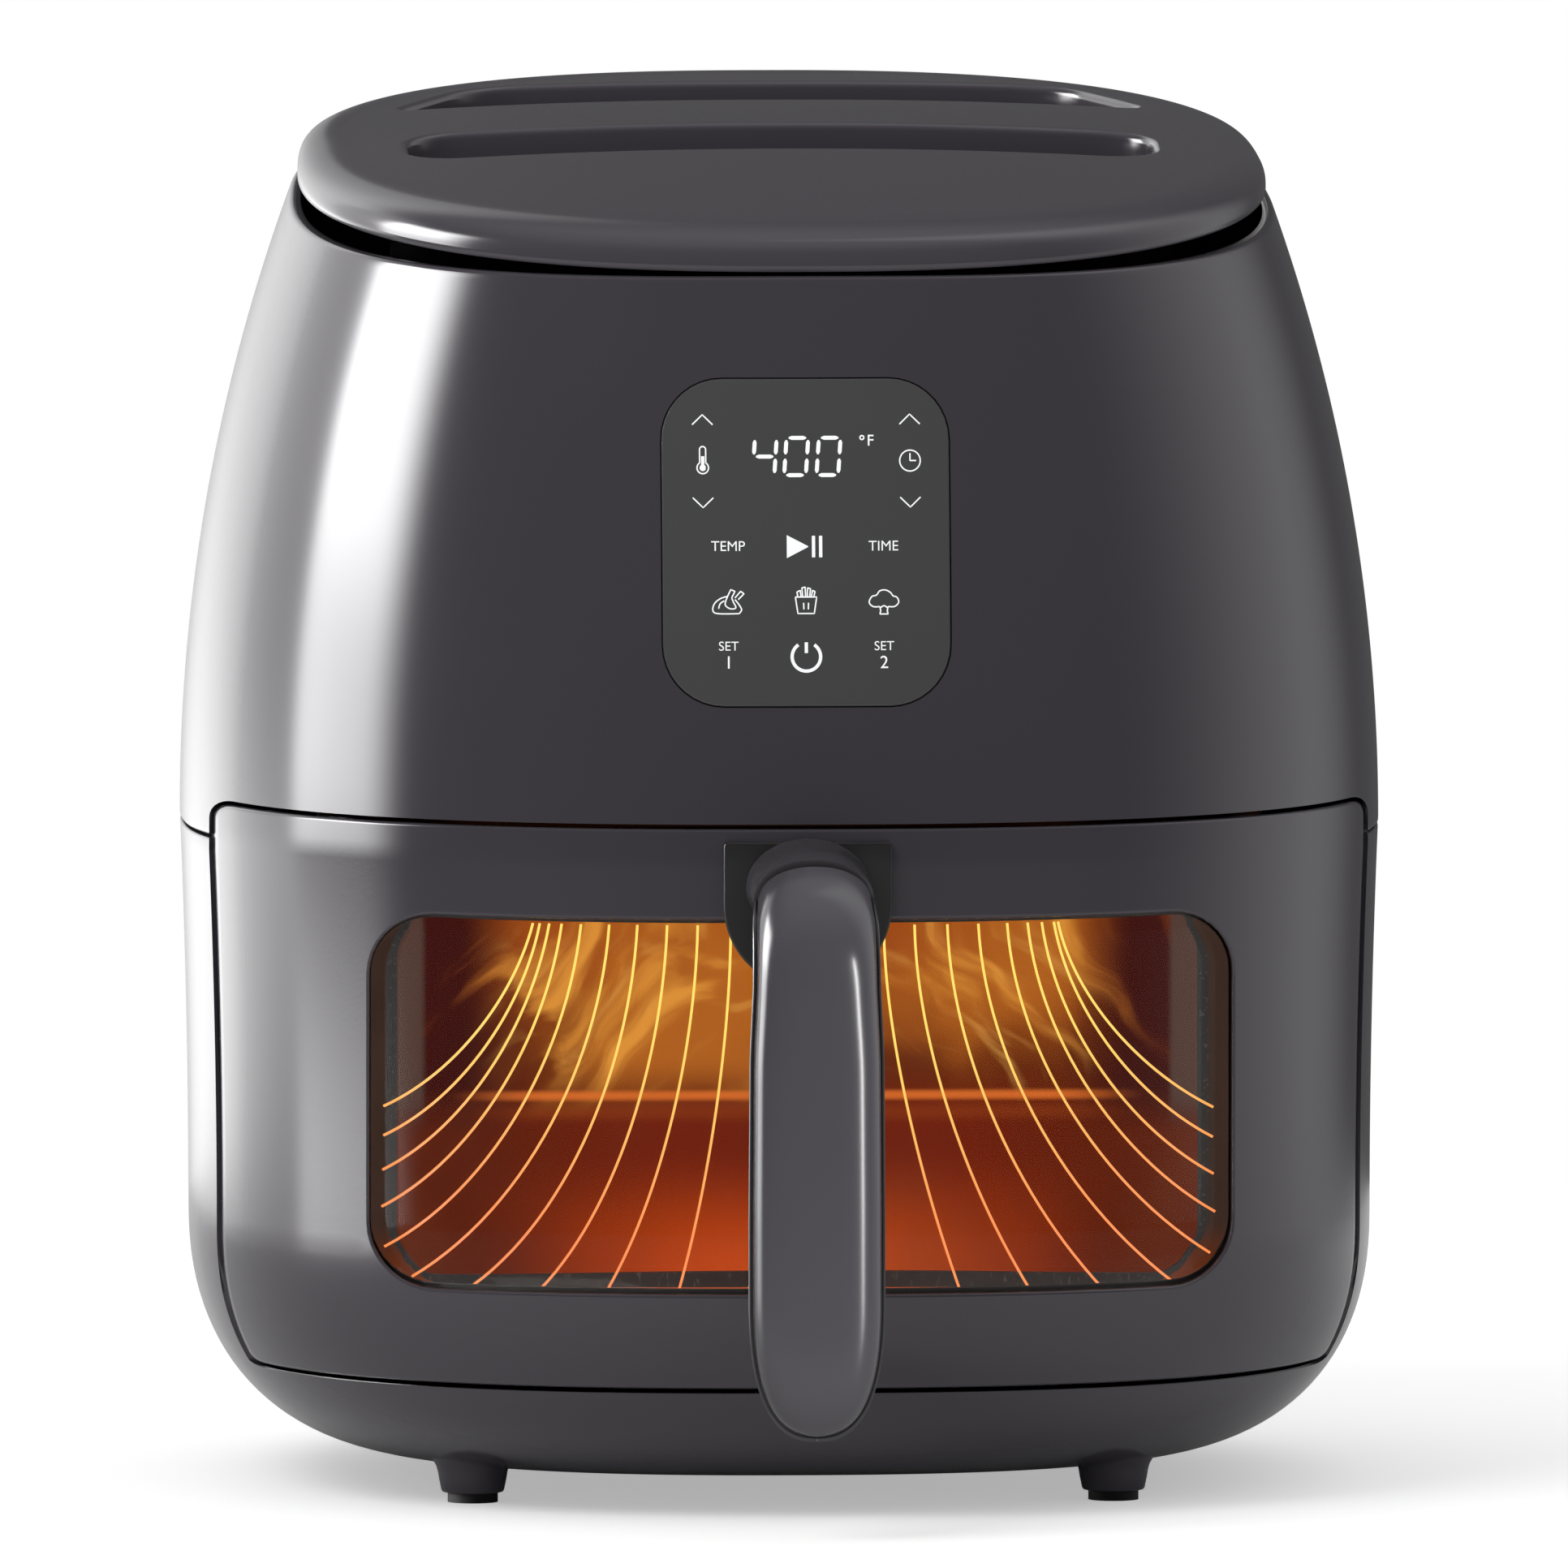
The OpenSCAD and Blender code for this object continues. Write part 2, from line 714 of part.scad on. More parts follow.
module chamber_roof() {
  color([0.64, 0.64, 0.65]) translate([0, 0, roof_z]) linear_extrude(sheet) difference() {
    chamber_plan(sheet);
    translate([0, fan_y]) circle(d = shaft_d + 6, $fn = 48);
    for (a = element_ends)
      translate([0, fan_y]) rotate(a) translate([element_r, 0]) circle(d = element_d + 2, $fn = 48);
    translate([0, fan_y]) rotate(sensor_angle) translate([guard_out - 1, 0]) circle(d = 4.6, $fn = 48);
  }
}

module bay_floor() {
  color([0.62, 0.62, 0.64]) difference() {
    translate([0, 0, bay_floor_z]) linear_extrude(bay_floor_t) chamber_plan(sheet);
    for (sx = [-1, 1], sy = [-1, 1])
      translate([sx * post_x, sy * post_y, 0]) cylinder(h = far / 2, d = screw_d + 0.2, $fn = 48);
  }
}

rail_x = 82;
rail_w = 8;

module drawer_rails() {
  color([0.75, 0.75, 0.76])
    for (s = [-1, 1])
      translate([s * rail_x - rail_w / 2, -mouth_f + 2, bay_floor_z + bay_floor_t]) difference() {
        cube([rail_w, mouth_f + pan_rear - 40, rail_h]);
        translate([-1, -1, rail_h]) rotate([-20, 0, 0]) translate([0, -10, 0]) cube([rail_w + 2, 12, 4]);
      }
}

// ---- heating ----

element_ends = [8, 22];
turn_angle = 336;
inner_r = element_r - element_pitch;
turn_step = 8;
tube_sides = 10;

function polar(r, a, z = 0) = [r * cos(a), r * sin(a), z];
function unit(v) = v / norm(v);

// Route of the heating tube: down a leg, round the outer turn, back along the inner one,
// out again and up the other leg.
element_route =
  let(leg = chamber_top - element_z + 12, mid = (element_r + inner_r) / 2, bend = element_pitch / 2)
  concat(
    [polar(element_r, element_ends[1], leg), polar(element_r, element_ends[1], 4),
      polar(element_r, element_ends[1] + 0.6, 1)],
    [for (a = [element_ends[1] + 3 : turn_step : turn_angle]) polar(element_r, a)],
    [for (b = [0 : 30 : 180])
      polar(mid + bend * cos(b), turn_angle + 57.3 * bend * sin(b) / mid)],
    [for (a = [turn_angle - turn_step : -turn_step : element_ends[0] + 7]) polar(inner_r, a)],
    [polar(inner_r + 1, element_ends[0] + 1.5), polar(inner_r + 4, element_ends[0]),
      polar(element_r - 4, element_ends[0]), polar(element_r - 1, element_ends[0], 1),
      polar(element_r, element_ends[0], 4), polar(element_r, element_ends[0], leg)]);

// Direction of the route at point i.
function heading(p, i) =
  i == 0 ? unit(p[1] - p[0])
    : i == len(p) - 1 ? unit(p[i] - p[i - 1])
      : unit(unit(p[i] - p[i - 1]) + unit(p[i + 1] - p[i]));

// A side vector carried along the route without twist.
function carried(p, side, i = 0) =
  let(t = heading(p, i), v = unit(side - (side * t) * t))
  i == len(p) - 1 ? [v] : concat([v], carried(p, v, i + 1));

module tube(p, side, d) {
  n = len(p);
  u = carried(p, side);
  points = [for (i = [0 : n - 1], k = [0 : tube_sides - 1])
    let(a = 360 * k / tube_sides, w = cross(heading(p, i), u[i]))
    p[i] + d / 2 * (cos(a) * u[i] + sin(a) * w)];
  last = (n - 1) * tube_sides;
  polyhedron(points, concat(
    [[for (k = [tube_sides - 1 : -1 : 0]) k]],
    [for (i = [0 : n - 2], k = [0 : tube_sides - 1])
      let(a = i * tube_sides + k, b = i * tube_sides + (k + 1) % tube_sides)
      each [[a, b, a + tube_sides], [b, b + tube_sides, a + tube_sides]]],
    [[for (k = [0 : tube_sides - 1]) last + k]]));
}

module heating_element() {
  color([0.42, 0.40, 0.38]) translate([0, fan_y, element_z])
    tube(element_route, [1, 0, 0], element_d);
}

module element_insulators() {
  color([0.92, 0.90, 0.86])
    for (a = element_ends)
      translate([0, fan_y, chamber_top]) rotate(a) translate([element_r, 0, 0]) difference() {
        cylinder(h = 8, d = 13, $fn = 48);
        translate([0, 0, -1]) cylinder(h = 10, d = element_d + 0.2, $fn = 48);
      }
}

module element_clips() {
  color([0.70, 0.70, 0.71])
    for (a = [100, 180, 260])
      translate([0, fan_y, 0]) rotate(a) {
        translate([element_r + element_d / 2 + fit, -4, element_z - element_d / 2 - fit - 1.2])
          cube([1.2, 8, chamber_top - sheet - element_z + element_d / 2 + fit + 1.2]);
        translate([element_r - 3, -4, element_z - element_d / 2 - fit - 1.2])
          cube([element_d / 2 + fit + 3.5, 8, 1.2]);
      }
}

guard_rings = [for (k = [0 : 3]) guard_out - 68 + 20 * k];
guard_spokes = 6;

// A pressed grille of rings and spokes that hangs from the chamber's top.
module element_guard() {
  color([0.72, 0.72, 0.73]) translate([0, fan_y, guard_z - guard_d / 2]) {
    linear_extrude(guard_d) {
      for (r = guard_rings)
        difference() {
          circle(r + guard_d / 2, $fn = 96);
          circle(r - guard_d / 2, $fn = 96);
        }
      for (k = [0 : guard_spokes - 1])
        rotate(360 * (k + 0.5) / guard_spokes) translate([0, -guard_d / 2]) square([guard_out, guard_d]);
    }
    for (k = [0 : guard_spokes - 1])
      rotate(360 * (k + 0.5) / guard_spokes) translate([guard_out - guard_d, -guard_d / 2, 0])
        cube([guard_d, guard_d, chamber_top - sheet - guard_z + guard_d / 2]);
  }
}

module temperature_sensor() {
  color([0.78, 0.78, 0.78])
  translate([0, fan_y, 0]) rotate(sensor_angle) translate([guard_out - 1, 0, 0]) {
    translate([0, 0, chamber_top - 20]) cylinder(h = 24, d = 4, $fn = 32);
    translate([0, 0, chamber_top]) cylinder(h = 3, d = 9, $fn = 6);
  }
}

module thermal_fuse() {
  color([0.85, 0.80, 0.70]) translate([28 - pan_w / 2, pan_rear - 50, chamber_top]) {
    translate([-9, 0, 3]) rotate([0, 90, 0]) cylinder(h = 18, d = 6, $fn = 32);
    translate([-6, -7, 0]) cube([12, 14, 0.8]);
  }
}

lens_t = 3;
cup_l = 17;

module lamp_lens() {
  color([0.85, 0.90, 0.92, 0.6]) translate([chamber_x + 0.1, lamp_y, lamp_z]) rotate([0, 90, 0])
    cylinder(h = lens_t, d = cup_d - 4 - 0.4, $fn = 64);
}

module lamp_holder() {
  color([0.80, 0.80, 0.81]) translate([chamber_x + 0.1, lamp_y, lamp_z]) rotate([0, 90, 0]) difference() {
    cylinder(h = cup_l, d = cup_d, $fn = 64);
    translate([0, 0, -1]) cylinder(h = lens_t + 1.2, d = cup_d - 4, $fn = 64);
    translate([0, 0, -1]) cylinder(h = cup_l - 1, d = cup_d - 7, $fn = 64);
  }
}

module lamp_bulb() {
  color([1.0, 0.85, 0.55]) translate([chamber_x + lens_t + 1, lamp_y, lamp_z]) rotate([0, 90, 0]) {
    translate([0, 0, 4]) sphere(d = 8, $fn = 32);
    translate([0, 0, 4]) cylinder(h = cup_l - lens_t - 6.9, d = 8, $fn = 32);
  }
}

// ---- fan and motor ----

bracket_z = chamber_top + bracket_rise;
bracket_sheet = 1.5;
leg_r = cooler_d / 2 + 10;
motor_z = bracket_z + bracket_sheet;

module motor_bracket() {
  color([0.70, 0.70, 0.72]) translate([0, fan_y, 0]) difference() {
    union() {
      translate([0, 0, bracket_z]) linear_extrude(bracket_sheet) {
        circle(d = motor_d + 12, $fn = 96);
        for (a = [45 : 90 : 315])
          rotate(a) translate([0, -7]) square([leg_r + 6, 14]);
      }
      for (a = [45 : 90 : 315])
        rotate(a) translate([leg_r, 0, chamber_top])
          cylinder(h = bracket_rise + bracket_sheet / 2, d = 7, $fn = 32);
    }
    cylinder(h = far, d = shaft_d + 8, $fn = 48);
    for (a = [0 : 90 : 270])
      rotate(a) translate([motor_d / 2 - 7, 0, 0]) cylinder(h = far, d = screw_d + 0.2, $fn = 48);
  }
}

module motor() {
  color([0.60, 0.61, 0.63]) translate([0, fan_y, motor_z]) difference() {
    union() {
      cylinder(h = motor_h, d = motor_d, $fn = 96);
      translate([0, 0, motor_h]) cylinder(h = 5, d = 18, $fn = 64);
    }
    translate([0, 0, -1]) cylinder(h = motor_h + 10, d = shaft_d + 2 * shaft_play, $fn = 64);
    for (a = [0 : 90 : 270])
      rotate(a) translate([motor_d / 2 - 7, 0, -1]) cylinder(h = 9, d = screw_d + 0.2, $fn = 48);
    for (k = [0 : 11])
      rotate(15 + 30 * k) translate([motor_d / 2 - 2, -2, 8]) cube([4, 4, motor_h - 14]);
  }
}

module motor_screws() {
  color([0.62, 0.62, 0.64])
    for (a = [0 : 90 : 270])
      translate([0, fan_y, 0]) rotate(a) translate([motor_d / 2 - 7, 0, bracket_z - screw_head_h]) {
        cylinder(h = screw_head_h, d = screw_head_d, $fn = 48);
        cylinder(h = screw_head_h + bracket_sheet + 7, d = screw_d, $fn = 48);
      }
}

shaft_z = element_z + 5;
hub_d = 16;
disc_t = 1.2;
fan_z = chamber_top - sheet - 4 - blade_h;
cooler_z = chamber_top + 5;

module motor_shaft() {
  color([0.80, 0.80, 0.82]) translate([0, fan_y, shaft_z])
    cylinder(h = motor_z + motor_h + 7 - shaft_z, d = shaft_d, $fn = 64);
}

module fan_impeller() {
  blades = 10;
  color([0.72, 0.72, 0.74]) translate([0, fan_y, fan_z]) difference() {
    union() {
      translate([0, 0, blade_h - disc_t]) cylinder(h = disc_t, d = fan_d, $fn = 96);
      cylinder(h = blade_h, d = hub_d, $fn = 64);
      for (k = [0 : blades - 1])
        rotate(360 * k / blades) translate([hub_d / 2 + 10, 0, 0]) rotate(28)
          translate([0, -0.6, 0]) cube([fan_d / 2 - hub_d / 2 - 14, 1.2, blade_h - 0.1]);
    }
    translate([0, 0, -1]) cylinder(h = blade_h + 2, d = shaft_d + 0.02, $fn = 64);
  }
}

module fan_nut() {
  color([0.78, 0.78, 0.80]) translate([0, fan_y, fan_z - 4.2]) difference() {
    cylinder(h = 4, d = 10, $fn = 6);
    translate([0, 0, -1]) cylinder(h = 6, d = shaft_d + 0.02, $fn = 64);
  }
}

module cooling_fan() {
  blades = 8;
  color([0.20, 0.20, 0.21]) translate([0, fan_y, cooler_z]) difference() {
    union() {
      cylinder(h = 1.2, d = cooler_d, $fn = 96);
      cylinder(h = 9, d = hub_d, $fn = 64);
      for (k = [0 : blades - 1])
        rotate(360 * k / blades) translate([hub_d / 2 - 1, -0.7, 0.1])
          cube([cooler_d / 2 - hub_d / 2, 1.4, 8.9]);
    }
    translate([0, 0, -1]) cylinder(h = 12, d = shaft_d + 0.02, $fn = 64);
  }
}

// ---- exhaust ----

module exhaust_duct() {
  color([0.64, 0.64, 0.66]) intersection() {
    skin(wall + fit);
    translate([0, pan_rear + chamber_gap + sheet + 0.1, vent_z]) rotate([-90, 0, 0])
      linear_extrude(far / 8) difference() {
        rounded(vent_w - 10, vent_h - 6, 4);
        rounded(vent_w - 10 - 2 * duct_wall, vent_h - 6 - 2 * duct_wall, 3);
      }
  }
}

module rear_vent_grille() {
  slots = 5;
  color([0.10, 0.10, 0.11]) difference() {
    intersection() {
      skin_shell(0.3, wall);
      translate([0, half_depth / 2, vent_z]) rotate([-90, 0, 0])
        linear_extrude(far / 4) rounded(vent_w, vent_h, 6);
    }
    for (k = [0 : slots - 1])
      translate([0, half_depth / 2, vent_z + (k - (slots - 1) / 2) * 6]) rotate([-90, 0, 0])
        linear_extrude(far / 4) square([vent_w - 14, 3], center = true);
  }
}

// ---- electrics ----

panel_tilt = asin((panel_z - ridge_z) / side_radius);
panel_skin_f = depth_ratio * half_w(panel_z);
board_back = 12;

module panel_frame() {
  color([0.18, 0.18, 0.19]) difference() {
    union() {
      intersection() {
        skin_shell(wall + 0.2, wall + 2.2);
        forward(half_depth / 2, far / 2) panel_outline(5);
      }
      intersection() {
        skin(wall + 1);
        on_board(0) for (sx = [-1, 1], sy = [-1, 1])
          translate([sx * (panel_w / 2 - 7), sy * (panel_h / 2 - 7), 0])
            cylinder(h = board_back, d = 6, $fn = 24);
      }
    }
    forward(half_depth / 2, far / 2) translate([0, panel_z]) rounded(panel_w - 24, panel_h - 24, 3);
  }
}

// A frame whose XY plane is the front face of the control board and whose Z points out.
module on_board(lift) {
  translate([0, -panel_skin_f, panel_z]) rotate([90 - panel_tilt, 0, 0])
    translate([0, 0, lift - board_back]) children();
}

module control_board() {
  color([0.05, 0.30, 0.16]) on_board(-1.8) linear_extrude(1.6) rounded(panel_w - 6, panel_h - 4, 3);
}

module display_module() {
  color([0.10, 0.10, 0.11]) on_board(0) translate([-18, 5, 0]) cube([36, 18, 6]);
}

module touch_panel() {
  color([0.26, 0.27, 0.27]) intersection() {
    skin_shell(0.1, panel_t);
    forward(half_depth / 2, far / 2) panel_outline();
  }
}

stud_h = 3;
board_foot_z = base_z + wall + 2.2;
board_z = board_foot_z + stud_h;
board_t = 1.6;
board_w = 2 * (post_x - post_d);
board_d = 2 * (post_y - 8);

module power_board() {
  color([0.06, 0.32, 0.18]) {
    translate([-board_w / 2, -board_d / 2, board_z]) cube([board_w, board_d, board_t]);
    for (sx = [-1, 1], sy = [-1, 1])
      translate([sx * (board_w / 2 - 5), sy * (board_d / 2 - 5), board_foot_z])
        cylinder(h = stud_h + 0.2, d = 5, $fn = 32);
  }
}

// A block of the given size, from the board's middle.
module component(at, size) {
  translate([at[0] * board_w, at[1] * board_d, 0]) cube(size);
}

module power_components() {
  color([0.20, 0.20, 0.22]) translate([0, 0, board_z + board_t]) {
    component([-0.4, -0.38], [24, 20, 13]);
    component([-0.4, 0.1], [18, 14, 12]);
    for (k = [-1 : 1])
      translate([0, 0.28 * board_d * k, 0]) cylinder(h = 12.5, d = 11, $fn = 48);
    component([0.18, -0.35], [24, 10, 9]);
    component([0.18, 0.05], [20, 22, 5]);
  }
}

strike_in = 12;
switch_x = edge_x - strike_in;
switch_z = 110;
plunger_d = 4;
strike_w = 8;

module drawer_switch() {
  color([0.12, 0.12, 0.13]) difference() {
    translate([switch_x - 5, -frame_f + 0.1, switch_z - 10]) cube([10, 12, 20]);
    translate([switch_x, 5 - frame_f, switch_z]) rotate([90, 0, 0])
      cylinder(h = 12, d = plunger_d + 0.12, $fn = 48);
  }
}

module switch_plunger() {
  color([0.75, 0.20, 0.12]) translate([switch_x, 1 - frame_f, switch_z]) rotate([90, 0, 0])
    cylinder(h = edge_f - frame_f + 1 - fit, d = plunger_d, $fn = 48);
}

module cord_inlet() {
  y0 = depth_ratio * half_w(inlet_z);
  color([0.08, 0.08, 0.08]) translate([0, 0, inlet_z]) rotate([-90, 0, 0]) difference() {
    union() {
      translate([0, 0, y0 - wall - 3.3]) cylinder(h = wall + 5.3, d = inlet_d, $fn = 48);
      translate([0, 0, y0 + 0.9]) cylinder(h = 2.4, d = inlet_d + 5, $fn = 48);
      translate([0, 0, y0 - wall - 5.5]) cylinder(h = 2.4, d = inlet_d + 4, $fn = 48);
    }
    cylinder(h = far, d = 7.2, $fn = 48);
  }
}

// ---- drawer ----

module drawer_front() {
  color([0.29, 0.28, 0.30]) difference() {
    intersection() {
      skin(0);
      forward(edge_f, far / 2) drawer_outline();
    }
    intersection() {
      skin(front_wall);
      forward(edge_f - 1, far / 2) drawer_outline(-front_wall);
    }
    linear_extrude(far) behind_liner();
    forward(edge_f, far / 2) window_outline();
    for (s = [-1, 1])
      translate([s * grip_screw_x, -half_depth + 10, grip_screw_z]) rotate([90, 0, 0])
        cylinder(h = 20, d = grip_screw_d + 0.3, $fn = 32);
  }
}

module drawer_liner() {
  color([0.15, 0.14, 0.15]) difference() {
    union() {
      intersection() {
        skin(front_wall + fit);
        forward(edge_f, far / 2) drawer_outline(-front_wall - fit);
        linear_extrude(far) difference() {
          behind_liner(0.1);
          behind_liner(liner_t + 0.1);
        }
      }
      intersection() {
        skin(gasket_back + fit);
        forward(liner_f - liner_t / 2, far / 2) difference() {
          window_outline(glass_lap);
          window_outline(0.5);
        }
      }
      difference() {
        translate([switch_x - strike_w / 2, -liner_f, switch_z - strike_w / 2])
          cube([strike_w, liner_f - edge_f, strike_w]);
        linear_extrude(far) difference() {
          square([2 * far, 2 * far], center = true);
          behind_liner(1);
        }
      }
    }
    forward(edge_f, far / 2) window_outline(1);
    difference() {
      forward(edge_f, far / 2) window_outline(glass_lap + fit);
      skin(gasket_back + 0.15);
    }
    for (p = pan_screw_places)
      forward(pan_front - 10, far / 2) translate(p) circle(d = screw_d + 0.2, $fn = 32);
  }
}

gasket_back = front_wall + 0.1 + glass_t + 0.1 + gasket_t;

module window_glass() {
  color([0.75, 0.45, 0.20, 0.4]) intersection() {
    skin_shell(front_wall + 0.1, front_wall + 0.1 + glass_t);
    forward(edge_f, far / 2) window_outline(glass_lap);
  }
}

module window_gasket() {
  color([0.05, 0.05, 0.05]) intersection() {
    skin_shell(gasket_back - gasket_t, gasket_back);
    forward(edge_f, far / 2) difference() {
      window_outline(glass_lap);
      window_outline(-2);
    }
  }
}

pan_screw_rise = window_h / 2 + glass_lap + screw_head_d / 2 + 0.5;
pan_screw_places = [for (sx = [-1, 1], sz = [-1, 1]) [sx * 60, window_z + sz * pan_screw_rise]];

module pane_opening(grow, r) {
  translate([0, window_z]) rounded(pane_open_w + 2 * grow, pane_open_h + 2 * grow, r);
}

module inner_pane() {
  color([0.80, 0.50, 0.25, 0.4]) forward(pane_f, pane_f + pane_t) pane_opening(3, 12);
}

module pane_retainer() {
  color([0.13, 0.12, 0.12]) forward(pane_f + pane_t + 0.1, pane_f + pane_t + 0.1 + retainer_t) difference() {
    pane_opening(4.5, 12);
    pane_opening(0, 10);
  }
}

module pan() {
  color([0.12, 0.11, 0.11]) difference() {
    union() {
      translate([0, 0, pan_z]) linear_extrude(pan_h) pan_plan();
      translate([0, 0, pan_z + pan_h - 1.2]) linear_extrude(1.2) intersection() {
        pan_plan(pan_rim);
        translate([-far / 2, -pan_front]) square([far, far]);
      }
    }
    translate([0, 0, pan_z + pan_wall]) linear_extrude(pan_h) pan_plan(-pan_wall);
    forward(pan_front - 9, far / 2) pane_opening(0, 10);
    for (p = pan_screw_places)
      forward(pan_front - 9, far / 2) translate(p) circle(d = screw_d + 0.2, $fn = 32);
  }
}

module pan_screws() {
  color([0.62, 0.62, 0.64])
    for (p = pan_screw_places)
      translate([p[0], 0, p[1]]) rotate([90, 0, 0]) {
        translate([0, 0, pan_front - pan_wall - 2])
          cylinder(h = liner_f - pan_front + pan_wall + 4, d = screw_d, $fn = 32);
        translate([0, 0, liner_f + 0.1]) cylinder(h = screw_head_h, d = screw_head_d, $fn = 32);
      }
}

// ---- handle ----

grip_screw_x = 7.5;
grip_screw_z = handle_top - 8.5;
grip_screw_d = 4;
neck_z = handle_top - neck_t / 2;
bend_z = neck_z - neck_bend;
bend_f = handle_f - neck_bend;
bend_steps = 6;
tip_steps = 6;
tip_h = 35;
tip_power = 2.55;
neck_round = 1;
bend_round = 0.8;
grip_round = 0.72;
neck_start = half_depth + bracket_t + 0.5;

// Stations along the handle: distance forward, height, angle of travel, width, thickness and
// the power of the section, where 1 is an ellipse and less is squarer.
handle_stations = concat(
  [[neck_start, neck_z, 0, neck_w + 3, neck_t + 2, neck_round],
   [neck_start + 8, neck_z, 0, neck_w, neck_t, neck_round]],
  [for (i = [0 : bend_steps])
    let(a = 90 * i / bend_steps)
    [bend_f + neck_bend * sin(a), bend_z + neck_bend * cos(a), a,
      neck_w, lerp(neck_t, handle_t, i / bend_steps), lerp(neck_round, bend_round, i / bend_steps)]],
  [for (z = [bend_z - 20, handle_bottom + tip_h + 20])
    [handle_f, z, 90, z < bend_z - 30 ? handle_w : (neck_w + handle_w) / 2, handle_t, grip_round]],
  [for (i = [0 : tip_steps])
    let(reach = sin(88 * i / tip_steps))
    [handle_f, handle_bottom + tip_h * (1 - reach), 90,
      handle_w * (1 - reach ^ tip_power) ^ (1 / tip_power), handle_t * lerp(1, 0.35, reach ^ 6), grip_round]]);

section_n = 14;

// Half of a rounded section; side 1 is the outer half and -1 the inner one.
function half_section(s, side, shrink, split) = [
  for (i = [0 : section_n])
    let(t = 180 * i / section_n,
        x = max(0.4, s[3] / 2 - shrink) * power(cos(t), s[5]),
        n = side * max(split, (max(1, s[4] / 2 - shrink)) * power(sin(t), s[5])))
    [x, -s[0] - n * sin(s[2]), s[1] + n * cos(s[2])]];

module handle_half(side, shrink, split, first = 0) {
  for (k = [first : len(handle_stations) - 2])
    slab([half_section(handle_stations[k], side, shrink, split),
      half_section(handle_stations[k + 1], side, shrink, split)]);
}

module handle_front_shell() {
  color([0.30, 0.29, 0.32]) difference() {
    handle_half(1, 0, 0.15);
    handle_half(1, handle_wall, 0, 7);
    for (s = [-1, 1])
      translate([s * grip_screw_x, 0, grip_screw_z]) rotate([90, 0, 0])
        cylinder(h = neck_start + 15, d = grip_screw_d + 0.2, $fn = 32);
  }
}

module handle_back_shell() {
  color([0.24, 0.23, 0.25]) difference() {
    handle_half(-1, 0, 0.15);
    handle_half(-1, handle_wall, 0, 7);
  }
}

module handle_bracket() {
  w = bracket_w / 2;
  color([0.16, 0.17, 0.17]) difference() {
    intersection() {
      skin_shell(-bracket_t - 0.1, -0.1);
      forward(half_depth / 2, far / 2) {
        translate([0, bracket_top - bracket_h + w]) circle(w, $fn = 64);
        translate([-w, bracket_top - bracket_h + w]) square([2 * w, bracket_h - w]);
      }
    }
    for (s = [-1, 1])
      translate([s * grip_screw_x, 0, grip_screw_z]) rotate([90, 0, 0])
        cylinder(h = far / 2, d = grip_screw_d + 0.2, $fn = 32);
  }
}

module handle_screws() {
  head_f = depth_ratio * half_w(grip_screw_z) - front_wall - 0.4;
  color([0.62, 0.62, 0.64])
    for (s = [-1, 1])
      translate([s * grip_screw_x, 0, grip_screw_z]) rotate([90, 0, 0]) {
        translate([0, 0, head_f - 3]) cylinder(h = 3, d = 8, $fn = 32);
        translate([0, 0, head_f - 0.1]) cylinder(h = neck_start + 14 - head_f, d = grip_screw_d, $fn = 32);
      }
}

// ---- crisper ----

crisper_z = pan_z + pan_wall + crisper_h;

module crisper_plate() {
  reach_x = pan_w / 2 - pan_wall - crisper_gap;
  nx = floor((reach_x - crisper_hole) / crisper_pitch);
  ny = floor(((pan_front + pan_rear) / 2 - pan_wall - crisper_gap - crisper_hole) / crisper_pitch);
  color([0.13, 0.12, 0.12]) difference() {
    translate([0, 0, crisper_z]) linear_extrude(crisper_t) pan_plan(-pan_wall - crisper_gap);
    for (i = [-nx : nx], j = [-ny : ny])
      if (abs(i) + j < nx + ny - 2 && (i != 0 || j != 0))
        translate([i * crisper_pitch, pan_mid_y + j * crisper_pitch, crisper_z - 1])
          cylinder(h = crisper_t + 2, d = crisper_hole, $fn = 8);
    translate([0, pan_mid_y, crisper_z - 1]) cylinder(h = crisper_t + 2, d = 26, $fn = 12);
  }
}

crisper_leg_x = 3.5 * crisper_pitch;
crisper_leg_y = 3.5 * crisper_pitch;

module crisper_legs() {
  color([0.15, 0.14, 0.14])
    for (sx = [-1, 1], sy = [-1, 1])
      translate([sx * crisper_leg_x, pan_mid_y + sy * crisper_leg_y, pan_z + pan_wall + fit])
        cylinder(h = crisper_h - fit, d = 6, $fn = 32);
}

module crisper_bumpers() {
  half = pan_w / 2 - pan_wall - crisper_gap;
  t = crisper_gap - fit;
  color([0.08, 0.08, 0.08])
    for (s = [-1, 1]) {
      translate([s * (half + t / 2) - t / 2, -8, crisper_z - 2]) cube([t, 16, 7]);
      translate([-8 + s * 30, -pan_front + pan_wall + fit, crisper_z - 2]) cube([16, t, 3.5]);
      translate([-8 + s * 30, pan_rear - pan_wall - crisper_gap, crisper_z - 2]) cube([16, t, 7]);
    }
}

// ---- parts ----

placed() upper_housing();
placed() lower_housing();
placed() top_cover();
placed() grip_tub();
placed() base_plate();
placed() foot_pads();
placed() base_screws();
placed() front_frame();
placed() touch_panel();
placed() panel_frame();
placed() control_board();
placed() display_module();
placed() cooking_chamber();
placed() chamber_roof();
placed() bay_floor();
placed() drawer_rails();
placed() heating_element();
placed() element_insulators();
placed() element_clips();
placed() element_guard();
placed() temperature_sensor();
placed() thermal_fuse();
placed() lamp_holder();
placed() lamp_bulb();
placed() lamp_lens();
placed() motor_bracket();
placed() motor();
placed() motor_screws();
placed() exhaust_duct();
placed() rear_vent_grille();
placed() power_board();
placed() power_components();
placed() drawer_switch();
placed() cord_inlet();
placed() switch_plunger();
placed() motor_shaft();
placed() fan_impeller();
placed() fan_nut();
placed() cooling_fan();
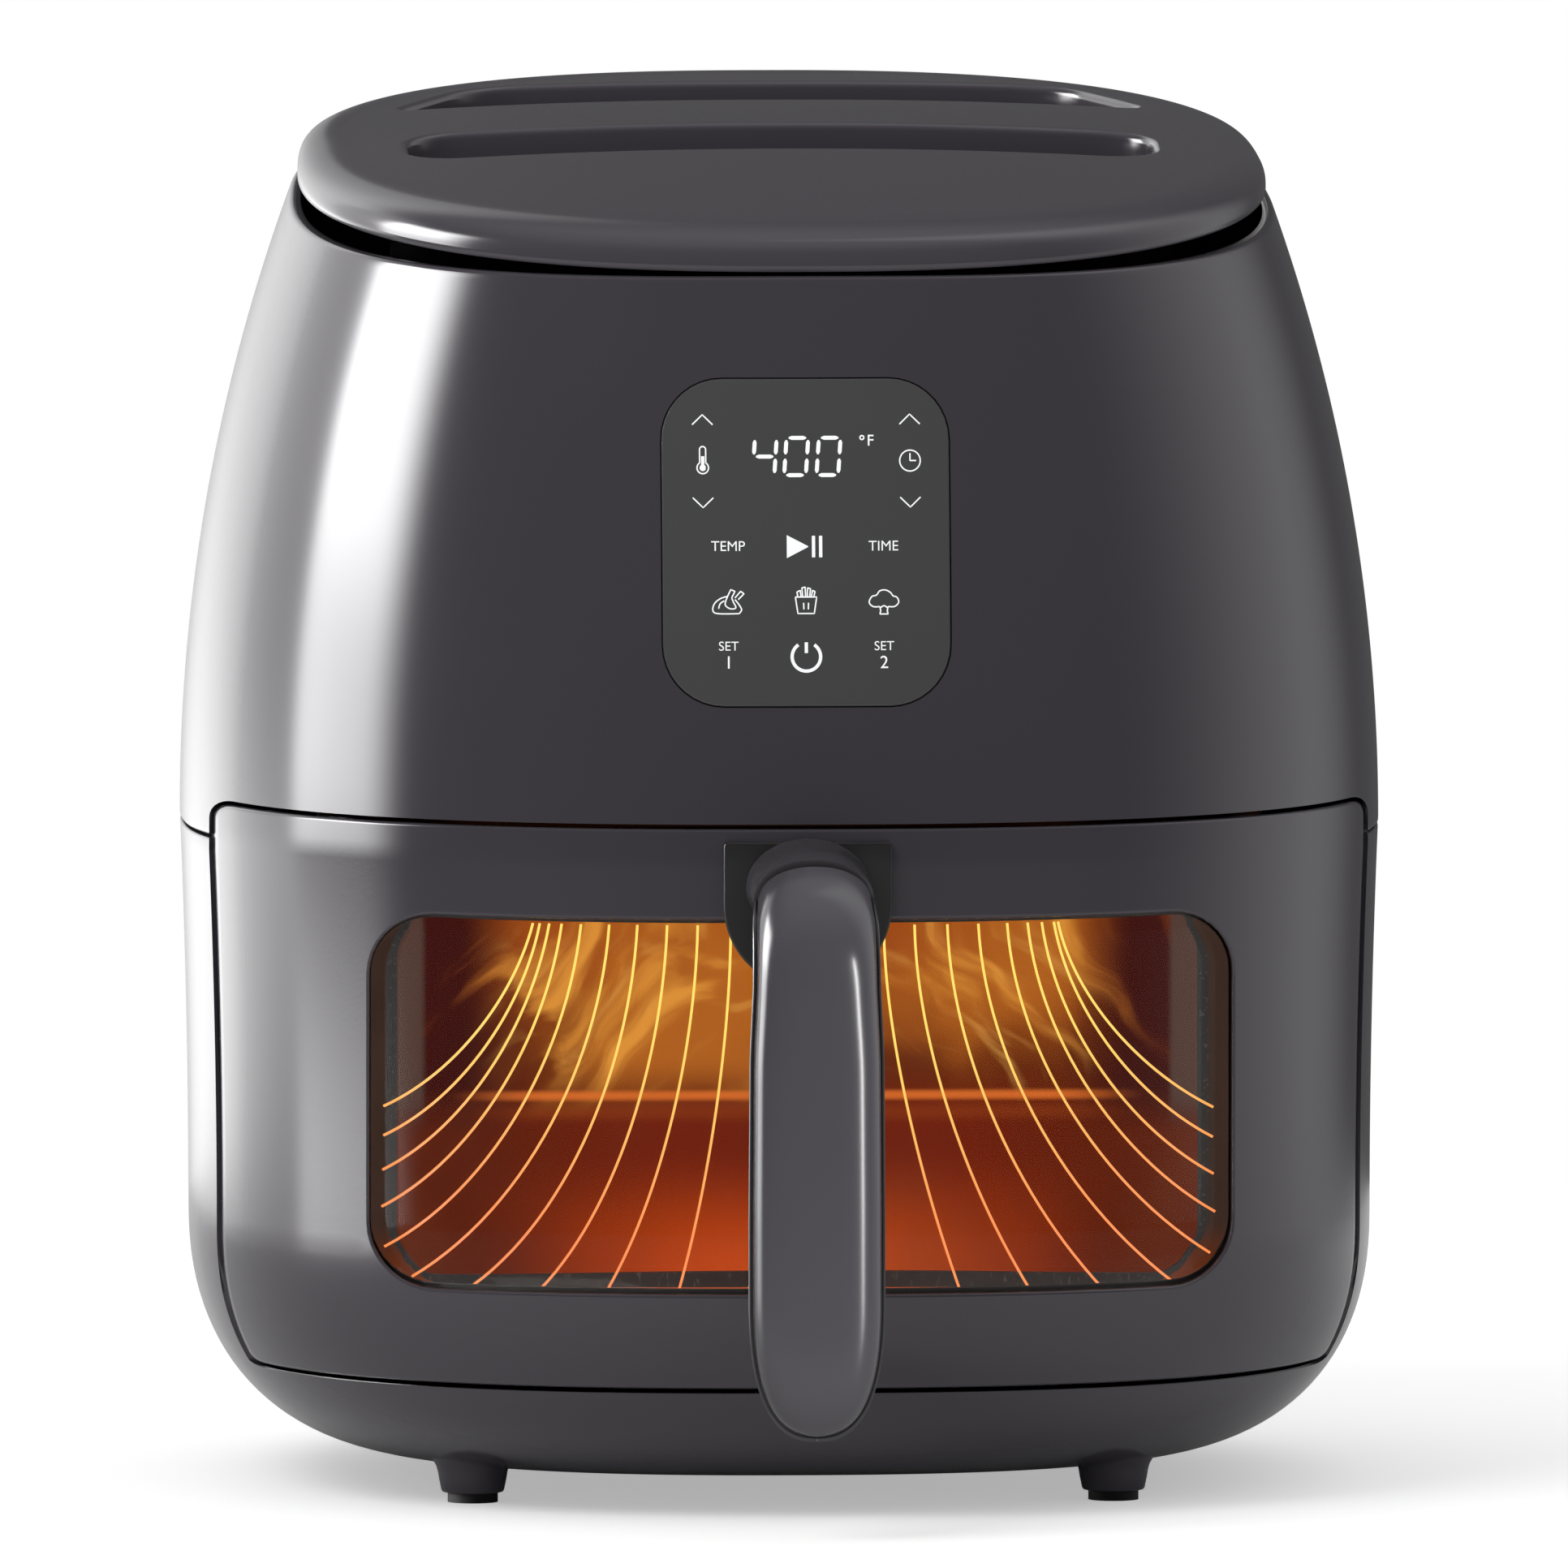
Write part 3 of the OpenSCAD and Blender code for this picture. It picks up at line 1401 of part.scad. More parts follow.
placed() drawer_front();
placed() drawer_liner();
placed() window_glass();
placed() window_gasket();
placed() inner_pane();
placed() pane_retainer();
placed() pan();
placed() pan_screws();
placed() handle_bracket();
placed() handle_front_shell();
placed() handle_back_shell();
placed() handle_screws();
placed() crisper_plate();
placed() crisper_legs();
placed() crisper_bumpers();
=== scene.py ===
# %% [markdown]
# # A window air fryer
#
# A tall rounded housing with a glazed drawer in its lower half, a vertical handle, a touch
# panel and a carrying grip in its sloping cover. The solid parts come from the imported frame.
# This file dresses them: the outer skins are modelled again with fine curvature, and every
# part gets its finish.

# %% Load the frame
import json
import math

import bpy
import numpy as np
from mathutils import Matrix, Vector
from mathutils.geometry import delaunay_2d_cdt


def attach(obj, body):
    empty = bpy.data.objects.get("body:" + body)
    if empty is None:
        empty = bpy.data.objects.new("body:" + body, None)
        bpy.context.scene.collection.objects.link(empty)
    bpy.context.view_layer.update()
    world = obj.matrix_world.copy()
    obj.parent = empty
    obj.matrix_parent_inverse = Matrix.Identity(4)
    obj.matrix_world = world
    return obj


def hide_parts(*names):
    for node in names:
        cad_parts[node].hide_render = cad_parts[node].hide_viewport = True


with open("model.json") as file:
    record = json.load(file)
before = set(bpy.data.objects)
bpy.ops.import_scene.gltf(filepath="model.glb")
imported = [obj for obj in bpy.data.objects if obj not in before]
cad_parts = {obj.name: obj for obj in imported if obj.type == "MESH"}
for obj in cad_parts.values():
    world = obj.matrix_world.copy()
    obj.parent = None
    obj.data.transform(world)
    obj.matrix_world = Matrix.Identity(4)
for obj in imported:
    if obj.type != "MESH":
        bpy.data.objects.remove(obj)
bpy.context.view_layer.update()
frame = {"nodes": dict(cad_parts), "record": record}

# %% [markdown]
# ## Working in the body's own millimetres
#
# The moulded skin is easiest to describe around the body's upright axis, in millimetres. The
# frame's own origin is under the middle of the whole part, handle included, so each finished
# point is moved back by the distance between the two and turned into metres. Small helpers
# select a piece, read and write all its points at once, apply its modifiers and print its size.

# %% Points in millimetres
MM = 0.001
AXIS_Y = 28.0
MERGE = 2e-6


def deselect():
    if bpy.context.object and bpy.context.object.mode != "OBJECT":
        bpy.ops.object.mode_set(mode="OBJECT")
    bpy.ops.object.select_all(action="DESELECT")


def select(piece):
    deselect()
    piece.select_set(True)
    bpy.context.view_layer.objects.active = piece


def points_of(piece):
    found = np.zeros(len(piece.data.vertices) * 3)
    piece.data.vertices.foreach_get("co", found)
    return found.reshape(-1, 3)


def place_points(piece, points):
    placed = (np.asarray(points, float) + (0, AXIS_Y, 0)) * MM
    piece.data.vertices.foreach_set("co", placed.ravel())
    piece.data.update()


def apply_all(piece):
    select(piece)
    for modifier in list(piece.modifiers):
        bpy.ops.object.modifier_apply(modifier=modifier.name)


def size_line(piece):
    size = np.ptp(points_of(piece), axis=0) * 1000
    print(f"{piece.name}: {size[0]:.1f} x {size[1]:.1f} x {size[2]:.1f} mm, {len(piece.data.polygons)} faces")


print("the body's axis lies", AXIS_Y, "mm behind the frame's origin")

# %% [markdown]
# ## The body's skin
#
# Seen from above, the body is a soft square: a superellipse a little deeper than wide. Seen
# from the front, it leans inwards above its widest line on one large radius, and curves under
# at the belly. One function gives the half width at a height, and everything that lies on the
# skin, such as the drawer front, the glass and the panel, is placed with it. An inset moves a
# point inwards, so that a wall or a pane keeps its thickness all the way round.

# %% The skin as a function
SQUARENESS = 2.44
BODY_WIDTH, BODY_DEPTH = 286, 300
DEPTH_RATIO = BODY_DEPTH / BODY_WIDTH
#       heights of the belly and of the widest line, and the half widths at base, belly and waist
BELLY_Z, BELLY_DROP, WAIST_Z = 64.5, 57.0, 159
BASE_HALF, BELLY_HALF, WAIST_HALF = 84, 141, 143
BELLY_POWER, SIDE_RADIUS = 2.3, 435


def half_width(z, inset=0.0):
    z = np.asarray(z, float)
    under = np.clip((BELLY_Z - z) / (BELLY_DROP - inset), 0, 1)
    belly = BASE_HALF + (BELLY_HALF - inset - BASE_HALF) * (1 - under**BELLY_POWER) ** (1 / BELLY_POWER)
    swell = 1 - ((z - BELLY_Z) / (WAIST_Z - BELLY_Z)) ** 2
    waist = WAIST_HALF - inset - (WAIST_HALF - BELLY_HALF) * swell
    upper = WAIST_HALF - inset - SIDE_RADIUS + np.sqrt(np.maximum(SIDE_RADIUS**2 - (z - WAIST_Z) ** 2, 0))
    return np.where(z < BELLY_Z, belly, np.where(z < WAIST_Z, waist, upper))


def half_depth(z, inset=0.0):
    return DEPTH_RATIO * (half_width(z, inset) + inset) - inset


def front_of(x, z, inset=0.0):
    share = np.clip(np.abs(x) / half_width(z, inset), 0, 1)
    return -half_depth(z, inset) * (1 - share**SQUARENESS) ** (1 / SQUARENESS)


def plan(turn):
    c, s = np.cos(turn), np.sin(turn)
    return (np.sign(c) * np.abs(c) ** (2 / SQUARENESS), np.sign(s) * np.abs(s) ** (2 / SQUARENESS))


def skin_normals(points):
    def depth_in(p):
        return ((np.abs(p[:, 0]) / half_width(p[:, 2])) ** SQUARENESS
                + (np.abs(p[:, 1]) / half_depth(p[:, 2])) ** SQUARENESS)
    step = 0.05
    slopes = np.stack([depth_in(points + axis) - depth_in(points - axis)
                       for axis in np.eye(3) * step], axis=1)
    return slopes / np.linalg.norm(slopes, axis=1, keepdims=True)


print("half width at the waist:", float(half_width(WAIST_Z)),
      "at the foot of the belly:", float(half_width(BELLY_Z - BELLY_DROP)))


# %% [markdown]
# ## Wrapping a sheet round the body
#
# The housings are thin shells. Each starts as a flat grid, one side of which is wrapped once
# round the body while the other runs up the outside, over the rolled edge and down the inside.
# The two seams are then merged, which leaves one closed shell. The plan's corners bend most, so
# the columns are spread evenly along the outline rather than by angle.

# %% Sheets and shells
COLUMNS = 400
fine = np.linspace(0, 2 * np.pi, 8001)
outline = np.stack(plan(fine), axis=1) * (BODY_WIDTH / 2, BODY_DEPTH / 2)
travel = np.concatenate([[0], np.cumsum(np.linalg.norm(np.diff(outline, axis=0), axis=1))])


def turn_at(u):
    return np.interp(u, travel / travel[-1], fine)


def flat_grid(name, across, up):
    deselect()
    bpy.ops.mesh.primitive_grid_add(x_subdivisions=across, y_subdivisions=up, size=1)
    piece = bpy.context.object
    piece.name = piece.data.name = name
    return piece


def wrap(name, across, up, place):
    piece = flat_grid(name, across, up)
    flat = points_of(piece)
    place_points(piece, place(flat[:, 0] + 0.5, np.rint((flat[:, 1] + 0.5) * up).astype(int)))
    bpy.ops.object.mode_set(mode="EDIT")
    bpy.ops.mesh.select_all(action="SELECT")
    bpy.ops.mesh.remove_doubles(threshold=MERGE)
    bpy.ops.mesh.normals_make_consistent(inside=False)
    bpy.ops.object.mode_set(mode="OBJECT")
    bpy.ops.object.shade_smooth()
    return piece


def shell(name, rows, low, high):
    """rows: (inset, share of the height, extra height); low and high give z from the turn."""
    inset, share, extra = (np.array(column) for column in zip(*rows))

    def place(u, k):
        turn = turn_at(u)
        c, s = plan(turn)
        z = low(turn) * (1 - share[k]) + high(turn) * share[k] + extra[k]
        return np.stack([half_width(z, inset[k]) * c, half_depth(z, inset[k]) * s, z], axis=1)
    return wrap(name, COLUMNS, len(rows) - 1, place)


def rolled(radius, wall, top):
    """The rows over an edge, from the outer side to the inner one."""
    turns = np.radians(np.linspace(0, 90, 5))
    sign = 1 if top else -1
    rows = [(radius * (1 - math.cos(a)), float(top), -sign * radius * (1 - math.sin(a))) for a in turns]
    return rows + [(wall, float(top), 0.0)]


print("once round the skin is", round(float(travel[-1])), "mm, in", COLUMNS, "columns")

# %% [markdown]
# ## Upper and lower housing
#
# Both are injection moulded shells 2.6 mm thick. The upper one ends in a tilted rim that dips
# a little towards the sides, which opens the dark line under the cover. Openings for the
# drawer, the touch panel and the vent are cut by Boolean modifiers. A Boolean leaves uneven
# faces along a cut, and on a glossy skin they would show, so a Data Transfer modifier then
# copies the smooth normals of the uncut shell.

# %% The housings before cutting
WALL = 2.6
EDGE_ROLL, RIM_ROLL = 0.5, 0.9
UPPER_SEAM, LOWER_SEAM = 157.9, 157.1
RIM_LIFT, RIM_DIP = 312.3, 3.6
COVER_SEAM = math.tan(math.radians(7.4))


def rim_height(turn, dip=RIM_DIP):
    """The tilted rim: the height is found by trying again with the width at the last height."""
    c, s = plan(turn)
    z = np.full_like(c, RIM_LIFT)
    for _ in range(5):
        z = RIM_LIFT + COVER_SEAM * half_depth(z) * s - dip * (half_width(z) * c / 100) ** 2
    return z


def upright(inset, start, end, count):
    return [(inset, w, 0.0) for w in np.linspace(start, end, count)]


upper_rows = (rolled(EDGE_ROLL, WALL, False)[::-1] + upright(0, 0.01, 0.985, 46)
              + rolled(RIM_ROLL, WALL, True) + upright(WALL, 0.98, 0.02, 10) + [(WALL, 0.0, 0.0)])
upper = shell("upper_housing_skin", upper_rows, lambda t: np.full_like(t, UPPER_SEAM), rim_height)


def belly_rows(inset, start, end, count):
    """Rows under the belly, closer together where it turns under."""
    return [(inset, BELLY_Z - (BELLY_DROP - inset) * math.cos(a) ** (2 / BELLY_POWER))
            for a in np.radians(np.linspace(start, end, count))]


lower_rows = (belly_rows(0.0, 2, 90, 30)
              + [(0.0, z) for z in np.linspace(68, LOWER_SEAM - EDGE_ROLL, 26)]
              + [(i, LOWER_SEAM + e) for i, _, e in rolled(EDGE_ROLL, WALL, True)]
              + [(WALL, z) for z in np.linspace(LOWER_SEAM - 3, 66, 8)]
              + belly_rows(WALL, 90, 8, 12))
#       half width and height of the rows that close the bottom, from the inside out
BOTTOM_ROWS = [(78.2, 10.1), (78.2, 7.5), (83.4, 7.5)]


def lower_place(u, k):
    inset, z = (np.array(column) for column in zip(*lower_rows))
    base = k >= len(lower_rows)
    row = np.where(base, 0, k)
    c, s = plan(turn_at(u))
    hx, hy = half_width(z[row], inset[row]), half_depth(z[row], inset[row])
    bottom = np.array(BOTTOM_ROWS + [(half_width(z[0]), z[0])])[np.clip(k - len(lower_rows), 0, 3)]
    hx = np.where(base, bottom[:, 0], hx)
    hy = np.where(base, DEPTH_RATIO * BASE_HALF - BASE_HALF + bottom[:, 0], hy)
    return np.stack([hx * c, hy * s, np.where(base, bottom[:, 1], z[row])], axis=1)


lower = wrap("lower_housing_skin", COLUMNS, len(lower_rows) + len(BOTTOM_ROWS), lower_place)
for piece in (upper, lower):
    size_line(piece)


# %% [markdown]
# ## Outlines seen from the front
#
# The drawer front, the window and the panel are rounded outlines drawn in the upright plane and
# pressed back onto the skin. Each outline is a function of how far it grows, so that a gap, a
# rolled edge or a lap comes from the same drawing.

# %% Outlines
def arc(cx, cz, radius, start, end, count=10):
    turns = np.radians(np.linspace(start, end, count))
    return [(cx + radius * math.cos(a), cz + radius * math.sin(a)) for a in turns]


def run(a, b, count):
    return [(a[0] + (b[0] - a[0]) * w, a[1] + (b[1] - a[1]) * w) for w in np.linspace(0, 1, count + 2)[1:-1]]


def rounded(w, h, cz, r, step=2.5):
    def loop(grow=0.0):
        x, z, q = w / 2 - r, h / 2 - r, max(r + grow, 0.05)
        across, up = max(2, int(2 * x / step)), max(2, int(2 * z / step))
        corners = [arc(x, cz - z, q, -90, 0), arc(x, cz + z, q, 0, 90),
                   arc(-x, cz + z, q, 90, 180), arc(-x, cz - z, q, 180, 270)]
        loop_points = []
        for i, corner in enumerate(corners):
            loop_points += corner + run(corner[-1], corners[(i + 1) % 4][0], up if i % 2 == 0 else across)
        return np.array(loop_points)
    return loop


print("a rounded outline of 100 x 50 mm has", len(rounded(100, 50, 0, 10)()), "points")

# %% Distance along the skin
MEAN_HALF, MEAN_DEPTH = 141, 148
shares, depth_shares = plan(np.linspace(np.pi / 2, 0, 3000))
reach = np.concatenate([[0], np.cumsum(np.hypot(np.diff(MEAN_HALF * shares),
                                                np.diff(MEAN_DEPTH * depth_shares)))])


def along(x, z, inset=0.0):
    """Distance along the skin from the middle, for a point that is seen at x."""
    return np.sign(x) * np.interp(np.abs(x) / half_width(z, inset), shares, reach)


def seen_at(s, z, inset=0.0):
    return np.sign(s) * np.interp(np.abs(s), reach, shares) * half_width(z, inset)


print("from the middle to the side, the skin is", round(float(reach[-1])), "mm long")

# %% Outline of the drawer front
#       its half width, its foot and top, its corners and the strip of housing beside it
FRONT_HALF, FRONT_LOW, FRONT_TOP, FRONT_CORNER, FRONT_BESIDE = 137.2, 32.0, 166.0, 4, 5.6
SLOPE_STEP = 0.1


def front_side(z):
    return np.minimum(FRONT_HALF, half_width(z) - FRONT_BESIDE)


def front_lean(z):
    return (front_side(z + SLOPE_STEP) - front_side(z - SLOPE_STEP)) / (2 * SLOPE_STEP)


def drawer_loop(grow=0.0):
    corner_low, corner_top = FRONT_LOW + FRONT_CORNER, FRONT_TOP - FRONT_CORNER
    low = 34.0
    for _ in range(8):
        lean = float(front_lean(low))
        low = corner_low - FRONT_CORNER * lean / math.hypot(1, lean)
    foot = (float(front_side(low)) - FRONT_CORNER / math.hypot(1, lean), corner_low)
    heights = low + (corner_top - low) * np.linspace(0, 1, 50)[1:-1]
    leans = front_lean(heights)
    scale = np.hypot(1, leans)
    right = arc(*foot, FRONT_CORNER + grow, -90, -math.degrees(math.atan(lean)), 8)
    right += list(zip(front_side(heights) + grow / scale, heights - grow * leans / scale))
    right += arc(FRONT_HALF - FRONT_CORNER, corner_top, FRONT_CORNER + grow, 0, 90, 8)
    s_top = np.linspace(float(along(FRONT_HALF - FRONT_CORNER, FRONT_TOP)), 0, 60)[1:-1]
    right += [(x, FRONT_TOP + grow) for x in seen_at(s_top, np.full_like(s_top, FRONT_TOP))]
    s_low = np.linspace(0, float(along(foot[0], FRONT_LOW)), 60)[1:-1]
    start = [(x, FRONT_LOW - grow) for x in seen_at(s_low, np.full_like(s_low, FRONT_LOW))]
    half = [(0.0, FRONT_LOW - grow)] + start + right + [(0.0, FRONT_TOP + grow)]
    return np.array(half + [(-x, z) for x, z in half[-2:0:-1]])


print("drawer outline", len(drawer_loop()), "points")

# %% Outlines of the window, the panel and the vent
WINDOW_W, WINDOW_H, WINDOW_Z, WINDOW_R = 205, 89.2, 99.7, 15
PANEL_W, PANEL_H, PANEL_Z, PANEL_R = 68.4, 77, 233.5, 14.5
VENT_W, VENT_H, VENT_Z, VENT_R = 96, 36, 190, 6
window_loop = rounded(WINDOW_W, WINDOW_H, WINDOW_Z, WINDOW_R)
panel_loop = rounded(PANEL_W, PANEL_H, PANEL_Z, PANEL_R)
vent_loop = rounded(VENT_W, VENT_H, VENT_Z, VENT_R)
print("window outline", len(window_loop()), "points, panel", len(panel_loop()), "and vent", len(vent_loop()))

# %% [markdown]
# ## Cutting the housings
#
# A prism is an outline filled and extruded along the depth. Cutters are taken away again once
# their Boolean is applied.

# %% Cutters and cuts
def prism(name, loop, near, far):
    deselect()
    bpy.ops.mesh.primitive_circle_add(vertices=len(loop), radius=1, fill_type="NGON")
    piece = bpy.context.object
    piece.name = name
    place_points(piece, [(x, near, z) for x, z in loop])
    bpy.ops.object.mode_set(mode="EDIT")
    bpy.ops.mesh.select_all(action="SELECT")
    bpy.ops.mesh.extrude_region_move(TRANSFORM_OT_translate={"value": (0, (far - near) * MM, 0)})
    bpy.ops.mesh.select_all(action="SELECT")
    bpy.ops.mesh.normals_make_consistent(inside=False)
    bpy.ops.object.mode_set(mode="OBJECT")
    return piece


def cut(piece, cutters):
    whole = piece.copy()
    whole.data = piece.data.copy()
    bpy.context.collection.objects.link(whole)
    for cutter in cutters:
        boolean = piece.modifiers.new("cut", "BOOLEAN")
        boolean.operation, boolean.solver, boolean.object = "DIFFERENCE", "EXACT", cutter
    apply_all(piece)
    bpy.ops.object.shade_smooth_by_angle(angle=math.radians(35))
    smooth = piece.modifiers.new("smooth", "DATA_TRANSFER")
    smooth.object, smooth.use_loop_data = whole, True
    smooth.data_types_loops, smooth.loop_mapping = {"CUSTOM_NORMAL"}, "POLYINTERP_NEAREST"
    smooth.use_max_distance, smooth.max_distance = True, 0.04 * MM
    apply_all(piece)
    for spare in [whole] + cutters:
        bpy.data.objects.remove(spare)
    size_line(piece)


BAY_GAP, PANEL_GAP, VENT_GAP = 1.1, 0.25, 0.3
BAY_BACK, CUT_NEAR, CUT_FAR = -51.0, 100, 170
INLET_Z, INLET_R = 46, 6.1
cut(upper, [prism("bay", drawer_loop(BAY_GAP), BAY_BACK, -CUT_FAR),
            prism("panel_hole", panel_loop(PANEL_GAP), -CUT_NEAR, -CUT_FAR),
            prism("vent_hole", vent_loop(VENT_GAP), CUT_NEAR, CUT_FAR)])
cut(lower, [prism("bay", drawer_loop(BAY_GAP), BAY_BACK, -CUT_FAR),
            prism("inlet_hole", np.array(arc(0, INLET_Z, INLET_R, 0, 360, 33)[:-1]), CUT_NEAR, CUT_FAR)])


# %% [markdown]
# ## Fronts that follow the skin
#
# The drawer front, the two window parts, the panel, the bracket and the vent are all plates
# that lie on the skin, with rolled edges and sometimes a hole. A grid cut by a Boolean would
# leave ragged faces at the edge, so each plate is laid out directly: its outline runs in even
# steps, a net of inner points fills it, and the rolled edge and the wall are rows of the same
# outline, grown and sunk. The normals of the visible face come from the skin itself. Three
# helpers do what the plates and the cover share: filling outlines with triangles, joining two
# rings by a belt of faces, and making a piece from points and faces.

# %% Filling, belts and pieces
def filled(outlines, net, gap):
    """Triangles between the outlines: their points, the triangles and each outline's numbers."""
    bounds = np.concatenate(outlines)
    if len(net):
        gaps = np.min(np.linalg.norm(net[:, None, :] - bounds[None, :, :], axis=2), axis=1)
        net = net[gaps > gap]
    start, rings = 0, []
    for outline in outlines:
        rings.append(list(range(start, start + len(outline))))
        start += len(outline)
    everything = np.concatenate([bounds, net]) if len(net) else bounds
    made = delaunay_2d_cdt([Vector(p) for p in everything], [], rings, 2, 1e-6)
    origin = [o[0] for o in made[3]]
    triangles = [[origin[v] for v in face] for face in made[2]]
    used = sorted({v for t in triangles for v in t})
    order = {v: i for i, v in enumerate(used)}
    triangles = [[order[v] for v in t] for t in triangles]
    return everything[used], triangles, [[order[v] for v in r] for r in rings]


def belt(previous, first):
    """Faces from a ring to the next one, whose points start at a number; and that next ring."""
    current = list(range(first, first + len(previous)))
    ahead = [(i + 1) % len(previous) for i in range(len(previous))]
    return [[previous[i], current[i], current[j], previous[j]] for i, j in enumerate(ahead)], current


def piece_of(name, points, faces):
    mesh = bpy.data.meshes.new(name)
    mesh.from_pydata([(0, 0, 0)] * len(points), [], faces)
    piece = bpy.data.objects.new(name, mesh)
    bpy.context.collection.objects.link(piece)
    place_points(piece, points)
    return piece


def roll_rows(radius, turns):
    """Growth and depth of the rows over a rolled edge."""
    return [(-radius + radius * math.sin(a), radius - radius * math.cos(a)) for a in turns]


print("helpers for sheets ready")

# %% Plates on the skin
def plate(name, outer, holes, inset, thick, roll=0.6, step=4.5, back=False):
    side = -1 if back else 1
    edges = [(outer, 1)] + [(hole, -1) for hole in holes]

    def ring(loop, sign, grow):
        ring_points = loop(sign * grow)
        return ring_points if sign > 0 else ring_points[::-1]

    def sunk(x, z, depth):
        return np.stack([x, side * front_of(x, z, inset + depth), z], axis=1)

    loops = [ring(loop, sign, -roll) for loop, sign in edges]
    flat = [np.stack([along(p[:, 0], p[:, 1], inset), p[:, 1]], axis=1) for p in loops]
    low, high = np.concatenate(flat).min(axis=0), np.concatenate(flat).max(axis=0)
    net = np.array([(s, z) for s in np.arange(low[0] + step / 2, high[0], step)
                    for z in np.arange(low[1] + step / 2, high[1], step)])
    inner, triangles, rings = filled(flat, net, step * 0.55)
    count = total = len(inner)
    seen = seen_at(inner[:, 0], inner[:, 1], inset)
    blocks, faces, lasts = [sunk(seen, inner[:, 1], 0)], list(triangles), []
    rows = roll_rows(roll, np.radians(np.linspace(0, 90, 5))[1:]) + [(0.0, thick)]
    for (loop, sign), previous in zip(edges, rings):
        for grow, depth in rows:
            p = ring(loop, sign, grow)
            blocks.append(sunk(p[:, 0], p[:, 1], depth))
            quads, previous = belt(previous, total)
            faces += quads
            total += len(p)
        lasts.append(previous)
    behind = {v: last[i] for first, last in zip(rings, lasts) for i, v in enumerate(first)}
    deep = [i for i in range(count) if i not in behind]
    blocks.append(sunk(seen[deep], inner[deep, 1], thick))
    for k, v in enumerate(deep):
        behind[v] = total + k
    faces += [[behind[v] for v in t[::-1]] for t in triangles]
    if back:
        faces = [f[::-1] for f in faces]
    piece = piece_of(name, np.concatenate(blocks), faces)
    select(piece)
    bpy.ops.object.shade_smooth()
    normals = np.array([v.vector[:] for v in piece.data.vertex_normals])
    normals[:count] = skin_normals(blocks[0])
    piece.data.normals_split_custom_set_from_vertices(normals)
    size_line(piece)
    return piece


drawer_face = plate("drawer_front_skin", drawer_loop, [window_loop], 0.0, 3.0, roll=0.9)
PANE_W, PANE_H, PANE_R = 212, 96.2, 18.5
OPENING_W, OPENING_H, OPENING_R = 202.8, 87.0, 14
pane_loop = rounded(PANE_W, PANE_H, WINDOW_Z, PANE_R)
opening_loop = rounded(OPENING_W, OPENING_H, WINDOW_Z, OPENING_R)
glass = plate("window_glass_pane", pane_loop, [], 3.1, 3.0, roll=0.5, step=7)
gasket = plate("window_gasket_rim", pane_loop, [opening_loop], 6.2, 1.9, roll=0.3, step=9)
panel = plate("touch_panel_cover", panel_loop, [], 0.1, 2.3, roll=0.5)

# %% [markdown]
# ## The top cover
#
# The cover is a shallow lid. Its shoulder rolls in by 9 mm at the back and by 22 mm at the
# front, and its crown rises 4 mm. Two slots go through it, with the grip bar between them;
# their lips are rolled and run down into collars. The shoulder is wrapped round like the
# housings, and the crown is a net of points between the shoulder and the slots. Solidify then
# gives the whole sheet its wall.

# %% Shapes of the cover
TOP_SLOPE = math.tan(math.radians(5.45))
COVER_FOOT, EDGE_LIFT, CROWN_RISE = 313.3, 319.1, 4
CROWN_Y, CROWN_EDGE = -10, 9.0
SHOULDER_SIDE, SHOULDER_LESS, SHOULDER_MORE = 13, 4, 9
SHOULDER_POWER, SHOULDER_CREEP = 3.2, 0.056


def cover_ring(turn, inset, lift, slope):
    c, s = plan(turn)
    base = rim_height(turn, dip=0.0)
    y = half_depth(base, inset) * s
    return np.stack([half_width(base, inset) * c, y, lift + slope * y], axis=1)


rim_turns = turn_at(np.arange(COLUMNS) / COLUMNS)
crown_edge = cover_ring(rim_turns, CROWN_EDGE, EDGE_LIFT, TOP_SLOPE)
edge_angle = np.arctan2(crown_edge[:, 1] - CROWN_Y, crown_edge[:, 0])
edge_radius = np.hypot(crown_edge[:, 1] - CROWN_Y, crown_edge[:, 0])
sweep = np.argsort(edge_angle)


def crown_height(x, y):
    angle = np.arctan2(y - CROWN_Y, x)
    limit = np.interp(angle, edge_angle[sweep], edge_radius[sweep], period=2 * np.pi)
    k = np.hypot(x, y - CROWN_Y) / limit
    return EDGE_LIFT + CROWN_RISE * (1 - np.minimum(k, 1.02) ** 2) + TOP_SLOPE * y


backward = plan(rim_turns)[1]
shoulder = (SHOULDER_SIDE - SHOULDER_LESS * np.sin(np.pi / 2 * np.clip(backward / 0.4, 0, 1))
            + SHOULDER_MORE * np.maximum(-backward, 0) ** 1.5)
crown_rim = cover_ring(rim_turns, shoulder, EDGE_LIFT, TOP_SLOPE)
crown_rim[:, 2] = crown_height(crown_rim[:, 0], crown_rim[:, 1])
shoulder_top = crown_rim[:, 2] - TOP_SLOPE * crown_rim[:, 1] - COVER_FOOT


def shoulder_ring(share):
    """One ring of the shoulder, from 0 at the cover's lower edge to 1 at the crown."""
    slow = SHOULDER_CREEP * shoulder
    steep = (1 - (1 - share) ** SHOULDER_POWER) ** (1 / SHOULDER_POWER)
    rise = slow * share + (shoulder_top - slow) * steep
    blend = np.minimum(rise / (EDGE_LIFT - COVER_FOOT), 1)
    slope = COVER_SEAM + (TOP_SLOPE - COVER_SEAM) * blend
    return cover_ring(rim_turns, shoulder * share, COVER_FOOT + rise, slope)


print(f"the shoulder rises {shoulder_top.min():.2f} to {shoulder_top.max():.2f} mm")

